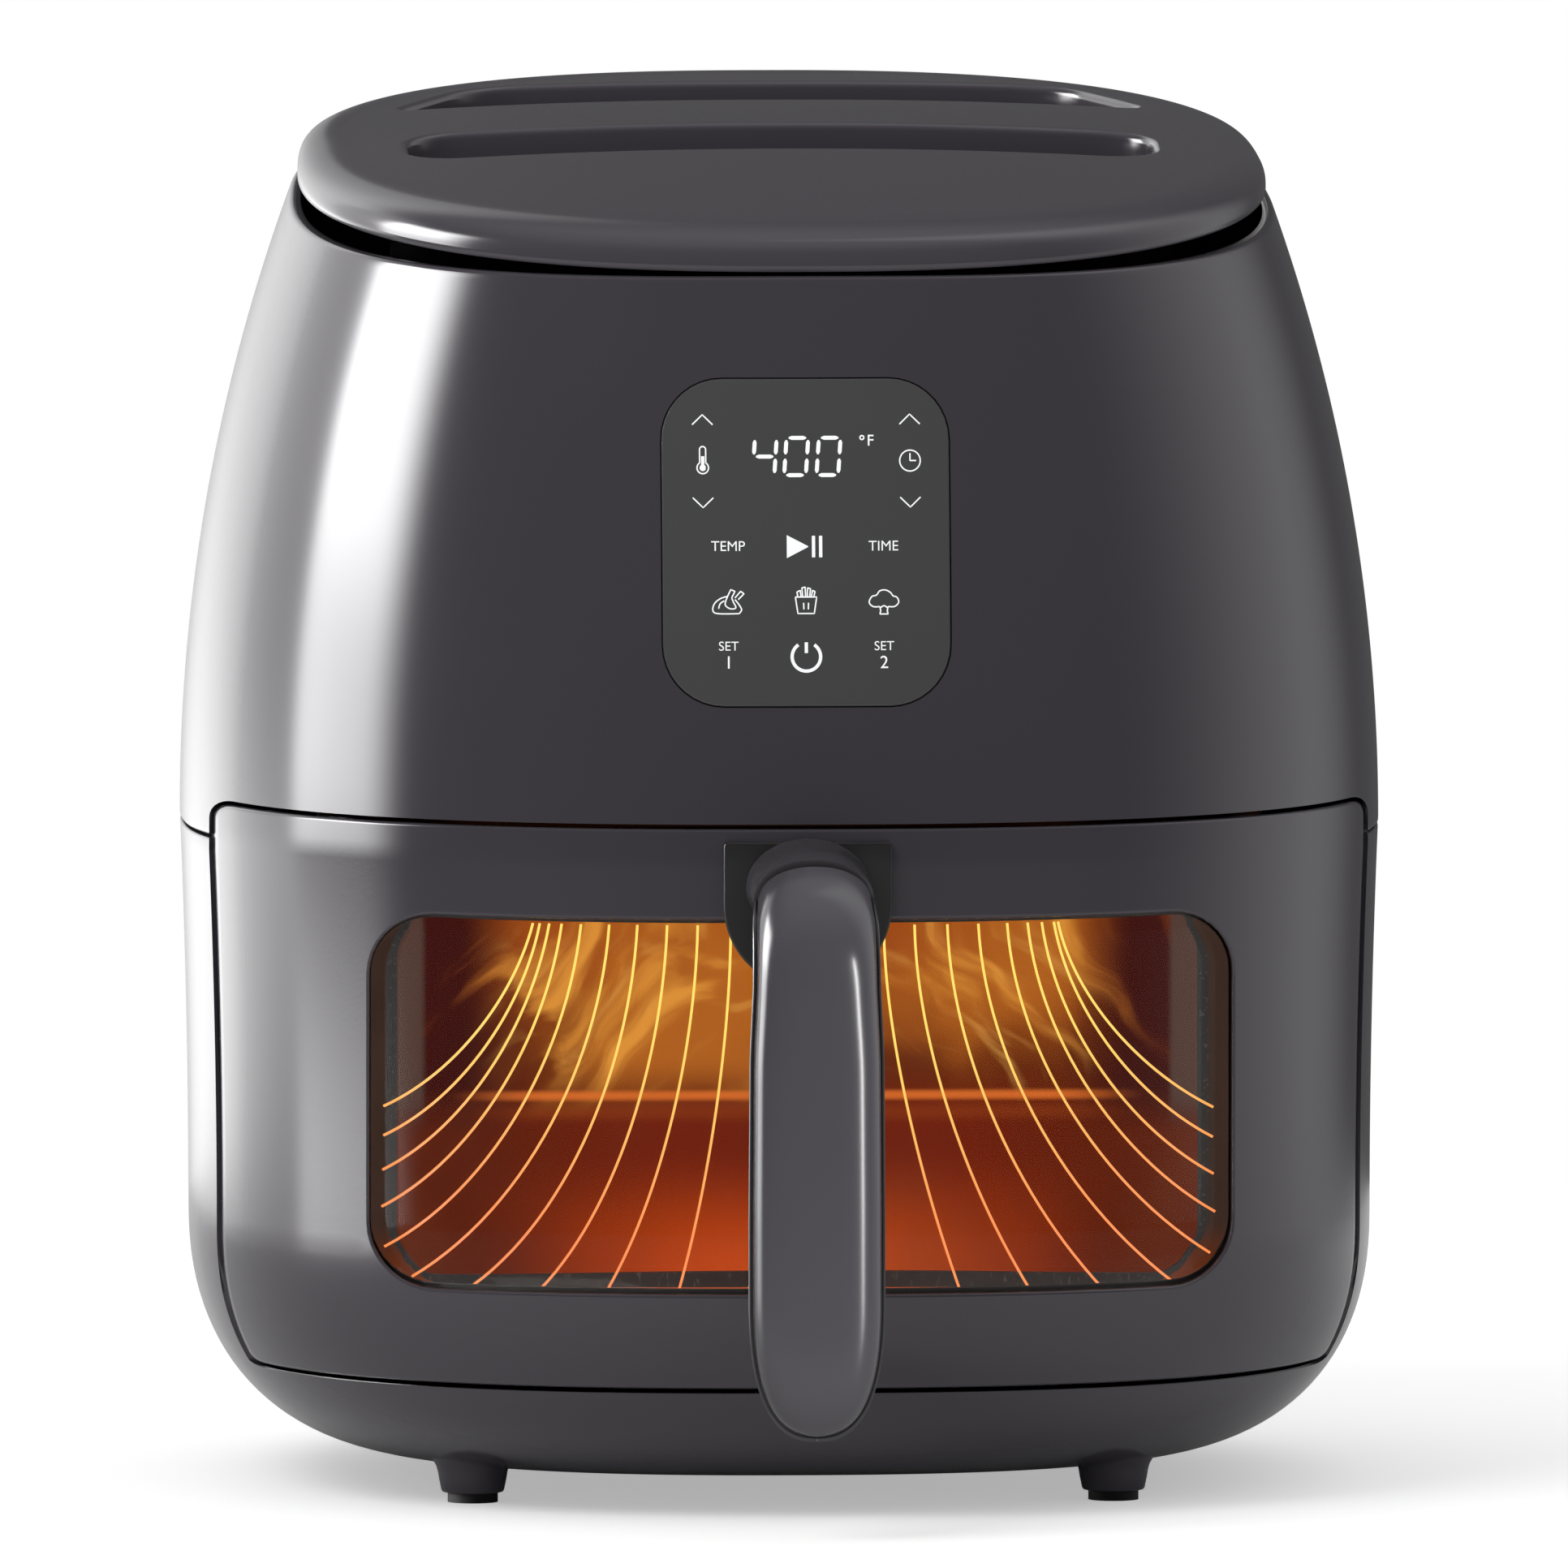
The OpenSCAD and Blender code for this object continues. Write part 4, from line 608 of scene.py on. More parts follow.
# %% Outlines of the two slots
SLOT_L, SLOT_W, SLOT_Y, SLOT_R = 178, 36, 12, 13
BAR_CORNER, BAR_CORNER_R = np.array((85.0, 51.0)), 3
RIM_CORNER, RIM_CORNER_R = np.array((57.0, 62.0)), 22


def front_slot(grow=0.0):
    return rounded(SLOT_L, SLOT_W, SLOT_Y, SLOT_R)(grow) * (1, -1)


def rear_slot(grow=0.0):
    """Straight along the bar with tight corners, and wide corners at the rim."""
    lead = RIM_CORNER - BAR_CORNER
    lean = math.acos((BAR_CORNER_R - RIM_CORNER_R) / np.hypot(*lead))
    side = math.degrees(math.atan2(lead[1], lead[0]) - lean)
    half = arc(*BAR_CORNER, BAR_CORNER_R + grow, -90, side, 8)
    rim = arc(*RIM_CORNER, RIM_CORNER_R + grow, side, 90, 20)
    half += run(half[-1], rim[0], 9) + rim + run(rim[-1], (0, rim[-1][1]), 22) + [(0, rim[-1][1])]
    left = [(-x, y) for x, y in half[-2::-1]]
    return np.array(half + left + run(left[-1], half[0], 64))


print("slot outlines:", len(front_slot()), "and", len(rear_slot()), "points")

# %% [markdown]
# The slots' lips turn down over a radius of 1.8 mm and end in collars 11 mm deep. The rows of
# a lip are the slot's outline, grown and lowered, exactly as on the plates.

# %% The cover's sheet
LIP_R, COVER_WALL = 1.8, 2
COLLAR_DEPTHS = (4, 7, 11)


def clockwise(loop):
    x, y = loop.T
    return loop if np.sum(x * np.roll(y, -1) - np.roll(x, -1) * y) < 0 else loop[::-1]


def crown_points(flat, drop=0.0):
    return np.stack([flat[:, 0], flat[:, 1], crown_height(flat[:, 0], flat[:, 1]) - drop], axis=1)


def cover_sheet():
    slots = (front_slot, rear_slot)
    net = np.array([(x, y) for x in np.arange(-134, 135, 4.0) for y in np.arange(-140, 141, 4.0)])
    holes = [clockwise(slot(LIP_R)) for slot in slots]
    inner, faces, rings = filled([crown_rim[:, :2]] + holes, net, 2.4)
    blocks, total, previous = [crown_points(inner)], len(inner), rings[0]
    for share in np.linspace(1, 0, 26)[1:] ** 2:
        blocks.append(shoulder_ring(share))
        quads, previous = belt(previous, total)
        faces += quads
        total += len(previous)
    rows = [(-grow, drop) for grow, drop in roll_rows(LIP_R, np.radians([18, 36, 54, 72, 90]))]
    rows += [(0.0, drop) for drop in COLLAR_DEPTHS]
    for slot, previous in zip(slots, rings[1:]):
        for grow, drop in rows:
            blocks.append(crown_points(clockwise(slot(grow)), drop))
            quads, previous = belt(previous, total)
            faces += quads
            total += len(previous)
    return piece_of("top_cover_shell", np.concatenate(blocks), faces), inner, set(rings[0])


cover, crown_net, crown_rim_ids = cover_sheet()
select(cover)
bpy.ops.object.shade_smooth()
wall = cover.modifiers.new("wall", "SOLIDIFY")
wall.thickness, wall.offset, wall.use_even_offset = COVER_WALL * MM, -1, True
apply_all(cover)
size_line(cover)

# %% [markdown]
# The crown is a function of its place, so its normals are worked out from that function, and
# the net's triangles don't show in the reflections.

# %% Normals of the crown
def crown_normals(flat, step=0.05):
    slopes = [(crown_height(*(flat + move).T) - crown_height(*(flat - move).T)) / (2 * step)
              for move in np.eye(2) * step]
    up = np.stack([-slopes[0], -slopes[1], np.ones_like(slopes[0])], axis=1)
    return up / np.linalg.norm(up, axis=1, keepdims=True)


normals = np.array([v.vector[:] for v in cover.data.vertex_normals])
free = np.array([i for i in range(len(crown_net)) if i not in crown_rim_ids])
normals[free] = crown_normals(crown_net)[free]
cover.data.normals_split_custom_set_from_vertices(normals)
print(len(free), "normals of the crown set")

# %% [markdown]
# ## The handle
#
# The handle is a neck that leaves the drawer level, bends down and runs into a long grip with a
# round free end. The back shell is the neck and the inner half of the grip, with a fine groove
# inside its rim. The front shell is a lid that sits in that rim and begins part of the way
# round the bend. Each is a ring of points carried along a row of stations, which is what
# Extrude does by hand.

# %% Stations along the handle
#       distances forward and heights, then widths (W) and thicknesses (T), in millimetres
NECK_START, HANDLE_F, NECK_Z, BEND = 152.5, 197.0, 152.5, 21.0
ROOT_FLARE, FLARE_LENGTH = 2, 8
ROOT_W, NECK_W, NECK_T, GRIP_W, GRIP_T = 27.6, 30.4, 21.0, 32.4, 18.0
GRIP_LOW, TIP_H, TIP_POWER, TIP_RIM = 24.3, 35.0, 2.55, 1.5
LID_START = 17.0
#       how square the section is: 1 is an ellipse, and less is squarer
NECK_SECTION, BEND_SECTION, GRIP_SECTION = 1.0, 0.7, 0.64


def stations():
    """Forward, height, angle of travel, width, thickness, power of the section, share of the tip."""
    path = []
    for d in (0, 2, 4, 6, 8, 12, 17):
        flare = ROOT_FLARE * max(0, 1 - d / FLARE_LENGTH) ** 2
        path.append((NECK_START + d, NECK_Z, 0.0, ROOT_W + flare, NECK_T + flare, NECK_SECTION, 0.0))
    bend_z, bend_f = NECK_Z - BEND, HANDLE_F - BEND
    for a in sorted(set(np.linspace(0, 90, 28)) | {LID_START}):
        r = math.radians(a)
        w = np.interp(a, [0, 45, 90], [ROOT_W, NECK_W - 0.5, NECK_W])
        path.append((bend_f + BEND * math.sin(r), bend_z + BEND * math.cos(r), a, float(w),
                     NECK_T + (GRIP_T - NECK_T) * a / 90, 1 - 0.3 * a / 90, 0.0))
    tip_top = GRIP_LOW + TIP_H
    for z in np.linspace(bend_z, tip_top, 18)[1:]:
        w = np.interp(z, [tip_top, 78, 116, bend_z], [GRIP_W, GRIP_W, GRIP_W - 0.5, NECK_W])
        power = float(np.interp(z, [111, bend_z], [GRIP_SECTION, BEND_SECTION]))
        path.append((HANDLE_F, z, 90.0, float(w), GRIP_T, power, 0.0))
    for a in np.linspace(0, 89.5, 40)[1:]:
        r = math.radians(a)
        out, half = math.sin(r) ** (2 / TIP_POWER), math.cos(r) ** (2 / TIP_POWER)
        down = out ** (TIP_POWER - 1) / TIP_H
        aside = half ** (TIP_POWER - 1) / (GRIP_W / 2)
        path.append((HANDLE_F, tip_top - TIP_H * out, 90.0, GRIP_W * half, GRIP_T * (1 - 0.65 * out**6),
                     GRIP_SECTION, TIP_RIM * down / math.hypot(down, aside)))
    return path


track = stations()
print(len(track), "stations from the drawer to the free end")

# %% Sections of the handle
ARC = np.linspace(0, np.pi, 27)
#       inset and height of the points that close each section, from its side inwards
GROOVE = [(0.2, 0.2), (0.55, 0.2), (0.6, -0.9)]
LID_GAP = 0.95
LID_EDGE = [(LID_GAP, 0.5), (LID_GAP, -0.2), (1.4, -0.5)]


def half_curve(w, t, power, shrink, side):
    """Across the outer or inner side of a section, from right to left."""
    c, s = np.cos(ARC), np.abs(np.sin(ARC))
    x = max(w / 2 - shrink, 0.05) * np.sign(c) * np.abs(c) ** power
    n = side * max(t / 2 - shrink * (side > 0), 0.3) * s**power
    return [(a, b, shrink) for a, b in zip(x, n)]


def flat_across(w, edge, count):
    """From left to right along a rim's profile: pairs of inset and height."""
    left = [(-max(w / 2 - inset, 0.04), n, inset) for inset, n in edge]
    right = [(-x, n, inset) for x, n, inset in left[::-1]]
    between = [(x, left[-1][1], left[-1][2]) for x in np.linspace(left[-1][0], right[0][0], count + 2)[1:-1]]
    return left + between + right

print("a half section has", len(ARC), "points")

# %% Tubes along the stations
def handle_tube(name, rings):
    """rings: (station, closed list of x, n and inset)."""
    piece = flat_grid(name, len(rings[0][1]), len(rings) - 1)
    points = []
    for (f, z, a, *_, tip), ring in rings:
        r = math.radians(a)
        points += [(x, -f - n * math.sin(r), z + n * math.cos(r) + inset * tip)
                   for x, n, inset in ring + ring[:1]]
    place_points(piece, points)
    bpy.ops.object.mode_set(mode="EDIT")
    bpy.ops.mesh.select_all(action="SELECT")
    bpy.ops.mesh.remove_doubles(threshold=MERGE)
    bpy.ops.mesh.fill_holes(sides=0)
    bpy.ops.mesh.select_all(action="SELECT")
    bpy.ops.mesh.normals_make_consistent(inside=False)
    bpy.ops.object.mode_set(mode="OBJECT")
    bpy.ops.object.shade_smooth_by_angle(angle=math.radians(38))
    size_line(piece)
    return piece

print("tube helper ready")

# %% The handle's two shells
def back_ring(station, whole):
    w, t, power = station[3:6]
    inner = half_curve(w, t, power, 0.0, -1)
    if whole:
        return station, inner + [(-x, n, i) for x, n, i in half_curve(w, t, power, 0.0, 1)][1:-1]
    return station, inner + flat_across(w, GROOVE, len(ARC) - 8)


def lid_ring(station):
    w, t, power = station[3:6]
    outer = half_curve(w, t, power, LID_GAP, 1)[1:-1]
    return station, outer + flat_across(w, LID_EDGE, 6)


lid_at = [k for k, station in enumerate(track) if station[2] == LID_START][0]
grip_back = handle_tube("handle_back_skin", [back_ring(station, True) for station in track[:lid_at + 1]]
                        + [back_ring(station, False) for station in track[lid_at:]])
grip_front = handle_tube("handle_front_skin", [lid_ring(station) for station in track[lid_at + 1:]])

# %% [markdown]
# ## The bracket plate
#
# The neck stands on a thin dark plate with a straight top edge and a round lower end. It lies
# proud of the drawer front by 2 mm, so it is a plate on the skin again.

# %% Bracket plate
BRACKET_HALF, BRACKET_TOP, BRACKET_CENTRE = 20, 163, 148.0


def bracket_loop(grow=0.0):
    half, top, centre = BRACKET_HALF + grow, BRACKET_TOP + grow, BRACKET_CENTRE
    path = arc(0, centre, half, 180, 360, 41)
    right = run((half, centre), (half, top - 1), 7)
    left = run((-half, top - 1), (-half, centre), 7)
    corner_r = arc(half - 1, top - 1, 1, 0, 90, 5)
    corner_l = arc(-half + 1, top - 1, 1, 90, 180, 5)
    return np.array(path + right + corner_r + run((half - 1, top), (-half + 1, top), 15) + corner_l + left)


bracket = plate("handle_bracket_plate", bracket_loop, [], -2.05, 1.95, roll=0.5, step=4)

# %% [markdown]
# ## The rear vent
#
# The hot air leaves through a louvred grille in the upper rear. The grille is a plate on the
# rear skin with a row of round-ended slits.

# %% Rear vent
SLIT_W, SLIT_H, SLIT_R = 82, 2.6, 1.25
slits = [rounded(SLIT_W, SLIT_H, VENT_Z + offset, SLIT_R, step=3) for offset in np.arange(-12.5, 13, 5)]
vent = plate("rear_vent_louvres", vent_loop, slits, 0.1, 2.0, roll=0.3, step=3, back=True)

# %% [markdown]
# ## Feet
#
# Four short feet grow out of the belly with a small flare. Each is a turned profile: a circle
# extruded from ring to ring. One function makes it at each of the four places, and the feet are
# joined to the lower housing, because they are moulded with it.

# %% Feet
#       radius and height of the rings of a foot, and how far the feet stand from the middle
FOOT_RINGS = [(6.3, 2.2), (7.2, 2.45), (7.5, 2.9), (8.05, 5.6),
              (8.3, 7.2), (8.7, 8.6), (9.6, 10.2), (10.2, 12.0)]
FOOT_X, FOOT_Y = 76.4, 75


def foot(x, y):
    radius, z = FOOT_RINGS[0]
    deselect()
    bpy.ops.mesh.primitive_circle_add(vertices=48, radius=radius * MM, fill_type="NGON",
                                      location=(x * MM, (y + AXIS_Y) * MM, z * MM))
    piece = bpy.context.object
    bpy.ops.object.mode_set(mode="EDIT")
    bpy.ops.mesh.select_all(action="SELECT")
    centre = (x * MM, (y + AXIS_Y) * MM, 0)
    for (r0, z0), (r1, z1) in zip(FOOT_RINGS, FOOT_RINGS[1:]):
        bpy.ops.mesh.extrude_region_move(TRANSFORM_OT_translate={"value": (0, 0, (z1 - z0) * MM)})
        bpy.ops.transform.resize(value=(r1 / r0, r1 / r0, 1), center_override=centre)
    bpy.ops.mesh.select_all(action="SELECT")
    bpy.ops.mesh.normals_make_consistent(inside=False)
    bpy.ops.object.mode_set(mode="OBJECT")
    bpy.ops.object.shade_smooth_by_angle(angle=math.radians(50))
    bpy.ops.object.transform_apply(location=True)
    return piece


feet = [foot(x, y) for x in (-FOOT_X, FOOT_X) for y in (-FOOT_Y, FOOT_Y)]
select(lower)
for piece in feet:
    piece.select_set(True)
bpy.ops.object.join()
size_line(lower)

# %% [markdown]
# ## Glowing lines in the window
#
# Behind the outer glass, the lit cavity shows a fan of fine bright lines that fall from the top
# and sweep outwards. Each is a thin curved strip that gives light of its own, a painted glow.
# Its route is one curve with four control points: where it starts under the upper rim, how
# steeply, where it ends, and how it arrives.

# %% Glowing lines
#       start x, end x, end z, steepness at the start and at the end in degrees
LINES = [(-64.3, -98.6, 97.3, 76, 29), (-62.7, -98.6, 90.3, 79, 30), (-60.5, -98.8, 82.1, 80, 31),
         (-57.6, -99.0, 73.3, 82, 32), (-53.1, -98.4, 63.8, 84, 32), (-46.5, -92.1, 57.2, 86, 34),
         (-39.9, -78.1, 55.9, 87, 38), (-32.9, -62.6, 55.4, 88, 47), (-25.7, -47.3, 54.9, 89, 60),
         (-17.9, -30.4, 54.6, 90, 74), (-10.2, -13.6, 54.6, 90, 84),
         (18.4, 36.9, 54.7, 90, 70), (25.7, 53.7, 54.7, 89, 58), (33.5, 70.9, 54.9, 88, 47),
         (40.9, 88.1, 55.5, 87, 38), (47.8, 97.1, 61.7, 86, 34), (52.7, 98.4, 71.4, 84, 32),
         (56.1, 98.0, 80.5, 82, 31), (59.0, 97.8, 89.3, 80, 30), (60.0, 97.9, 96.4, 78, 29)]
LINE_TOP, LINE_INSET, GLOW_W = 142.6, 7.0, 0.6
#       how long the curve's two handles may be, and the share of that length that is used
ROUTE_LEAST, ROUTE_MOST, ROUTE_SHARE = 8.0, 80.0, 0.6


def direction(way, steep):
    return np.array((way * math.cos(math.radians(steep)), -math.sin(math.radians(steep))))


def line_route(x0, x1, z1, steep, flat, count=28):
    way = -1 if x1 < x0 else 1
    start, end = np.array((x0, LINE_TOP)), np.array((x1, z1))
    first, last = direction(way, steep), direction(way, flat)
    lengths = np.linalg.solve(np.stack([first, last], axis=1), end - start)
    reach_a, reach_b = (max(ROUTE_LEAST, min(r, ROUTE_MOST)) for r in lengths)
    c1, c2 = start + first * reach_a * ROUTE_SHARE, end - last * reach_b * ROUTE_SHARE
    w = np.linspace(0, 1, count)[:, None]
    return (1 - w) ** 3 * start + 3 * (1 - w) ** 2 * w * c1 + 3 * (1 - w) * w**2 * c2 + w**3 * end


print(len(LINES), "lines")

# %% Thin strips
def ribbon_points(route, width):
    ahead = np.gradient(route, axis=0)
    ahead /= np.linalg.norm(ahead, axis=1, keepdims=True)
    aside = np.stack([-ahead[:, 1], ahead[:, 0]], axis=1)
    return route + aside * width / 2, route - aside * width / 2


def face_forward(piece):
    """Turns every face that looks backwards."""
    for polygon in piece.data.polygons:
        if polygon.normal.y > 0:
            polygon.flip()
    piece.data.update()


def strips(name, routes, widths, inset):
    points, faces = [], []
    for route, width in zip(routes, widths):
        left, right = ribbon_points(np.asarray(route, float), width)
        base = len(points)
        points += [p for pair in zip(left, right) for p in pair]
        faces += [(base + 2 * i, base + 2 * i + 1, base + 2 * i + 3, base + 2 * i + 2)
                  for i in range(len(route) - 1)]
    flat = np.array(points)
    on_skin = np.stack([flat[:, 0], front_of(flat[:, 0], flat[:, 1], inset), flat[:, 1]], axis=1)
    piece = piece_of(name, on_skin, faces)
    face_forward(piece)
    return piece


lines = strips("window_glow_lines", [line_route(*line) for line in LINES], [GLOW_W] * len(LINES), LINE_INSET)
size_line(lines)

# %% [markdown]
# ## The lining between the panes
#
# Between the outer glass and the inner pane, the opening has a lining. It hides the gap between
# the two panes and shows as a brown border at the sides. Its finish gives light: a painted glow,
# brown at the sides and orange on its floor. It is a sleeve that starts behind the gasket, follows
# the opening's outline and narrows a little on its way to the inner pane.

# %% Lining between the panes
SLEEVE_GROW, SLEEVE_INSET, SLEEVE_BACK, SLEEVE_STEPS = 0.05, 8.2, -95.6, 4
SLEEVE_NARROWING = np.array((0.955, 0.995))


def lining(name, near):
    """A thin sleeve from behind the rim to the inner pane, open at both ends."""
    centre = np.array((0.0, WINDOW_Z))
    rows = []
    for share in np.linspace(0, 1, SLEEVE_STEPS + 1):
        row = []
        for x, z in near:
            y = front_of(x, z, SLEEVE_INSET)
            x1, z1 = centre + (np.array((x, z)) - centre) * SLEEVE_NARROWING
            row.append((x + (x1 - x) * share, y + (SLEEVE_BACK - y) * share, z + (z1 - z) * share))
        rows.append(row)
    piece = flat_grid(name, len(near), SLEEVE_STEPS)
    place_points(piece, [p for row in rows for p in row + row[:1]])
    bpy.ops.object.mode_set(mode="EDIT")
    bpy.ops.mesh.select_all(action="SELECT")
    bpy.ops.mesh.remove_doubles(threshold=MERGE)
    bpy.ops.object.mode_set(mode="OBJECT")
    bpy.ops.object.shade_smooth_by_angle(angle=math.radians(40))
    size_line(piece)
    return piece


sleeve = lining("window_lining", opening_loop(SLEEVE_GROW))

# %% [markdown]
# ## Print on the touch panel
#
# The panel's symbols are printed behind its face and lit. They are drawn as strokes: fine ones
# for the arrows, dials and foods, bolder ones for the keys and the digits. The few words are set
# in Blender's own letters and made meshes. Everything is then pressed onto the panel, a hair in
# front of its face, so that it never sinks into it.

# %% Places on the panel
#       columns and rows of the panel, in millimetres from its middle and from its foot
OUTER_LEFT, INNER_LEFT, MIDDLE, INNER_RIGHT, OUTER_RIGHT = -24.4, -18.6, -0.2, 18.3, 24.8
ROW_UP, ROW_DIGITS, ROW_DIAL, ROW_DOWN, ROW_KEYS = 67.4, 58.8, 57.9, 48.0, 37.7
ROW_FOOD, ROW_SET, ROW_POWER, ROW_NUMBER = 24.7, 14.2, 11.8, 10.3
PANEL_FOOT = PANEL_Z - PANEL_H / 2
#       the symbols are drawn in small units of this many millimetres
GRID = 0.1944
LINE_W, BOLD_W, DIGIT_W, PRINT_INSET = 0.32, 0.78, 0.93, 0.03


def drawn(column, row, *corners, closed=False):
    """A polyline around a place on the panel, drawn on a fine grid, with points close together."""
    points = [np.array((column + x * GRID, PANEL_FOOT + row + z * GRID)) for x, z in corners]
    points += points[:1] if closed else []
    dense = [a + (b - a) * share
             for a, b in zip(points, points[1:]) for share in np.linspace(0, 1, 7)[:-1]]
    return np.array(dense + points[-1:])


def ring(column, row, x, z, radius, start=0, end=360, count=40):
    turns = np.radians(np.linspace(start, end, count))
    return drawn(column, row, *zip(x + radius * np.cos(turns), z + radius * np.sin(turns)))


def soft_line(column, row, *corners, closed=False):
    """A smooth curve through the corners, drawn on the same grid."""
    ends = [corners[-1], corners[0], corners[1]] if closed else [corners[0], corners[-1], corners[-1]]
    knots = np.array([ends[0], *corners, *(ends[1:] if closed else ends[1:2])], float)
    curve = []
    for p0, p1, p2, p3 in zip(knots, knots[1:], knots[2:], knots[3:]):
        for w in np.linspace(0, 1, 6)[:-1]:
            curve.append(0.5 * (2 * p1 + (p2 - p0) * w + (2 * p0 - 5 * p1 + 4 * p2 - p3) * w**2
                                + (3 * p1 - p0 - 3 * p2 + p3) * w**3))
    return drawn(column, row, *curve, knots[-2])


print("the panel's foot lies at", PANEL_FOOT, "mm")

# %% Arrows, thermometer, clock and keys
thin = []
for column in (OUTER_LEFT, OUTER_RIGHT):
    thin += [drawn(column, ROW_UP, (-12.5, -6), (0, 6), (12.5, -6)),
             drawn(column, ROW_DOWN, (-12.5, 6), (0, -6), (12.5, 6))]
thin += [ring(OUTER_RIGHT, ROW_DIAL, 0, -1, 12.6), drawn(OUTER_RIGHT, ROW_DIAL, (0, 8), (0, -1), (7.5, -1)),
         ring(OUTER_LEFT, ROW_DIAL, 0, -9, 7, 122, 418), ring(OUTER_LEFT, ROW_DIAL, 0, 13, 3.7, 0, 180, 14),
         drawn(OUTER_LEFT, ROW_DIAL, (-3.7, -3), (-3.7, 13)),
         drawn(OUTER_LEFT, ROW_DIAL, (3.7, -3), (3.7, 13)),
         ring(MIDDLE, ROW_DIGITS, 70, 22.5, 2.4, 0, 360, 16)]
bold = [drawn(OUTER_LEFT, ROW_DIAL, (0, -9), (0, 5)), ring(OUTER_LEFT, ROW_DIAL, 0, -9, 1.9, 0, 360, 16),
        ring(MIDDLE, ROW_POWER, 0, 0, 17.4, 124, 416), drawn(MIDDLE, ROW_POWER, (0, 17.5), (0, 4.5)),
        drawn(MIDDLE, ROW_KEYS, (9.6, 13), (9.6, -13)), drawn(MIDDLE, ROW_KEYS, (18.3, 13), (18.3, -13))]
wedge = drawn(MIDDLE, ROW_KEYS, (-23, 0), (3, 0))
print(len(thin), "thin strokes,", len(bold), "bold strokes")

# %% Digits of the display
SEGMENTS = {"4": "bcfg", "0": "abcdef"}
DIGIT_H, DIGIT_WIDE, DIGIT_LEAN, DIGIT_GAP = 22.4, 26.5, 0.075, 2.6
DIGIT_PLACES = (-49, -10.5, 29)
#       each segment's name, and its two ends as shares of the digit's half height
DIGIT_FACE = (("a", 1, 1), ("g", 0, 0), ("d", -1, -1),
              ("b", 1, 0), ("c", 0, -1), ("f", 1, 0), ("e", 0, -1))


def digit_strokes(text):
    strokes, half = [], DIGIT_WIDE / 2
    for centre, digit in zip(DIGIT_PLACES, text):
        for name, top, bottom in DIGIT_FACE:
            if name not in SEGMENTS[digit]:
                continue
            if top == bottom:
                ends = [(-half + DIGIT_GAP, top * DIGIT_H), (half - DIGIT_GAP, top * DIGIT_H)]
            else:
                side = half if name in "bc" else -half
                ends = [(side, top * DIGIT_H - DIGIT_GAP), (side, bottom * DIGIT_H + DIGIT_GAP)]
            strokes.append(drawn(MIDDLE, ROW_DIGITS, *[(centre + x + z * DIGIT_LEAN, z) for x, z in ends]))
    return strokes


digits = digit_strokes("400")
tapered = DIGIT_W * np.array([0.4, 1, 1, 1, 1, 1, 0.4])[:, None]
print(len(digits), "digit segments")

# %% Food symbols
chicken, box, sprout = (INNER_LEFT, ROW_FOOD), (MIDDLE, ROW_FOOD), (INNER_RIGHT, ROW_FOOD)
food = [soft_line(*chicken, (13, -14), (-13, -14), (-19, -10), (-17, -2), (-10, 4), (-1, 7)),
        soft_line(*chicken, (13, -14), (16, -9), (12, -2), (8, 3)),
        soft_line(*chicken, (-12, -8), (-10, -2), (-5, 1.5)),
        soft_line(*chicken, (-1, 7), (-4, -3), (2, -8), (9, -7), (6, 0), (4, 5)),
        drawn(*chicken, (-1, 7), (3, 15), (8, 13), (4, 5)),
        drawn(*chicken, (8, 5), (15, 13), (19, 10), (12, 3)),
        drawn(*box, (-13, 6), (-10, -14), (10, -14), (13, 6), closed=True),
        drawn(*box, (-10, 6), (-11, 12), (-7, 14), (-6, 6)),
        drawn(*box, (-4, 6), (-5, 17), (-1, 18), (-0.5, 6)),
        drawn(*box, (1.5, 6), (2, 17), (5.5, 16), (4.5, 6)),
        drawn(*box, (6.5, 6), (8, 14), (11, 12.5), (9.5, 6)),
        drawn(*box, (-3, -1), (-2.7, -9)),
        drawn(*box, (3, -1), (2.7, -9)),
        soft_line(*sprout, (-5, -6), (-13, -6), (-18, -1), (-15, 6), (-9, 8), (-5, 13), (2, 14),
                  (8, 11), (11, 7), (16, 5), (18, -1), (13, -6), (5, -6)),
        drawn(*sprout, (-5, -6), (-4, -11), (-5, -15), (5, -15), (4, -11), (5, -6)),
        soft_line(*sprout, (-5, -8), (0, -5), (5, -8))]
print(len(food), "food strokes")

# %% Words
CAPITAL_SHARE = 0.69
LIGHT, PLAIN, HEAVY = -0.008, 0.0, 0.015
UNIT_COLUMN, UNIT_ROW = 15.4, 62.4
#       text, column, row, height of its capitals in grid units and weight
LABELS = [("F", UNIT_COLUMN, UNIT_ROW, 13, HEAVY),
          ("TEMP", INNER_LEFT, ROW_KEYS, 12, LIGHT), ("TIME", INNER_RIGHT, ROW_KEYS, 12, LIGHT),
          ("SET", INNER_LEFT, ROW_SET, 11, LIGHT), ("1", INNER_LEFT, ROW_NUMBER, 15, PLAIN),
          ("SET", INNER_RIGHT, ROW_SET, 11, LIGHT), ("2", INNER_RIGHT, ROW_NUMBER, 15, PLAIN)]


def words(text, column, row, height, weight):
    deselect()
    bpy.ops.object.text_add()
    piece = bpy.context.object
    piece.data.body, piece.data.align_x, piece.data.align_y = text, "CENTER", "CENTER"
    piece.data.size, piece.data.offset = height * GRID / CAPITAL_SHARE, weight
    bpy.ops.object.convert(target="MESH")
    piece = bpy.context.object
    flat = points_of(piece)
    x, z = flat[:, 0] + column, flat[:, 1] + PANEL_FOOT + row
    place_points(piece, np.stack([x, front_of(x, z, PRINT_INSET), z], axis=1))
    face_forward(piece)
    return piece


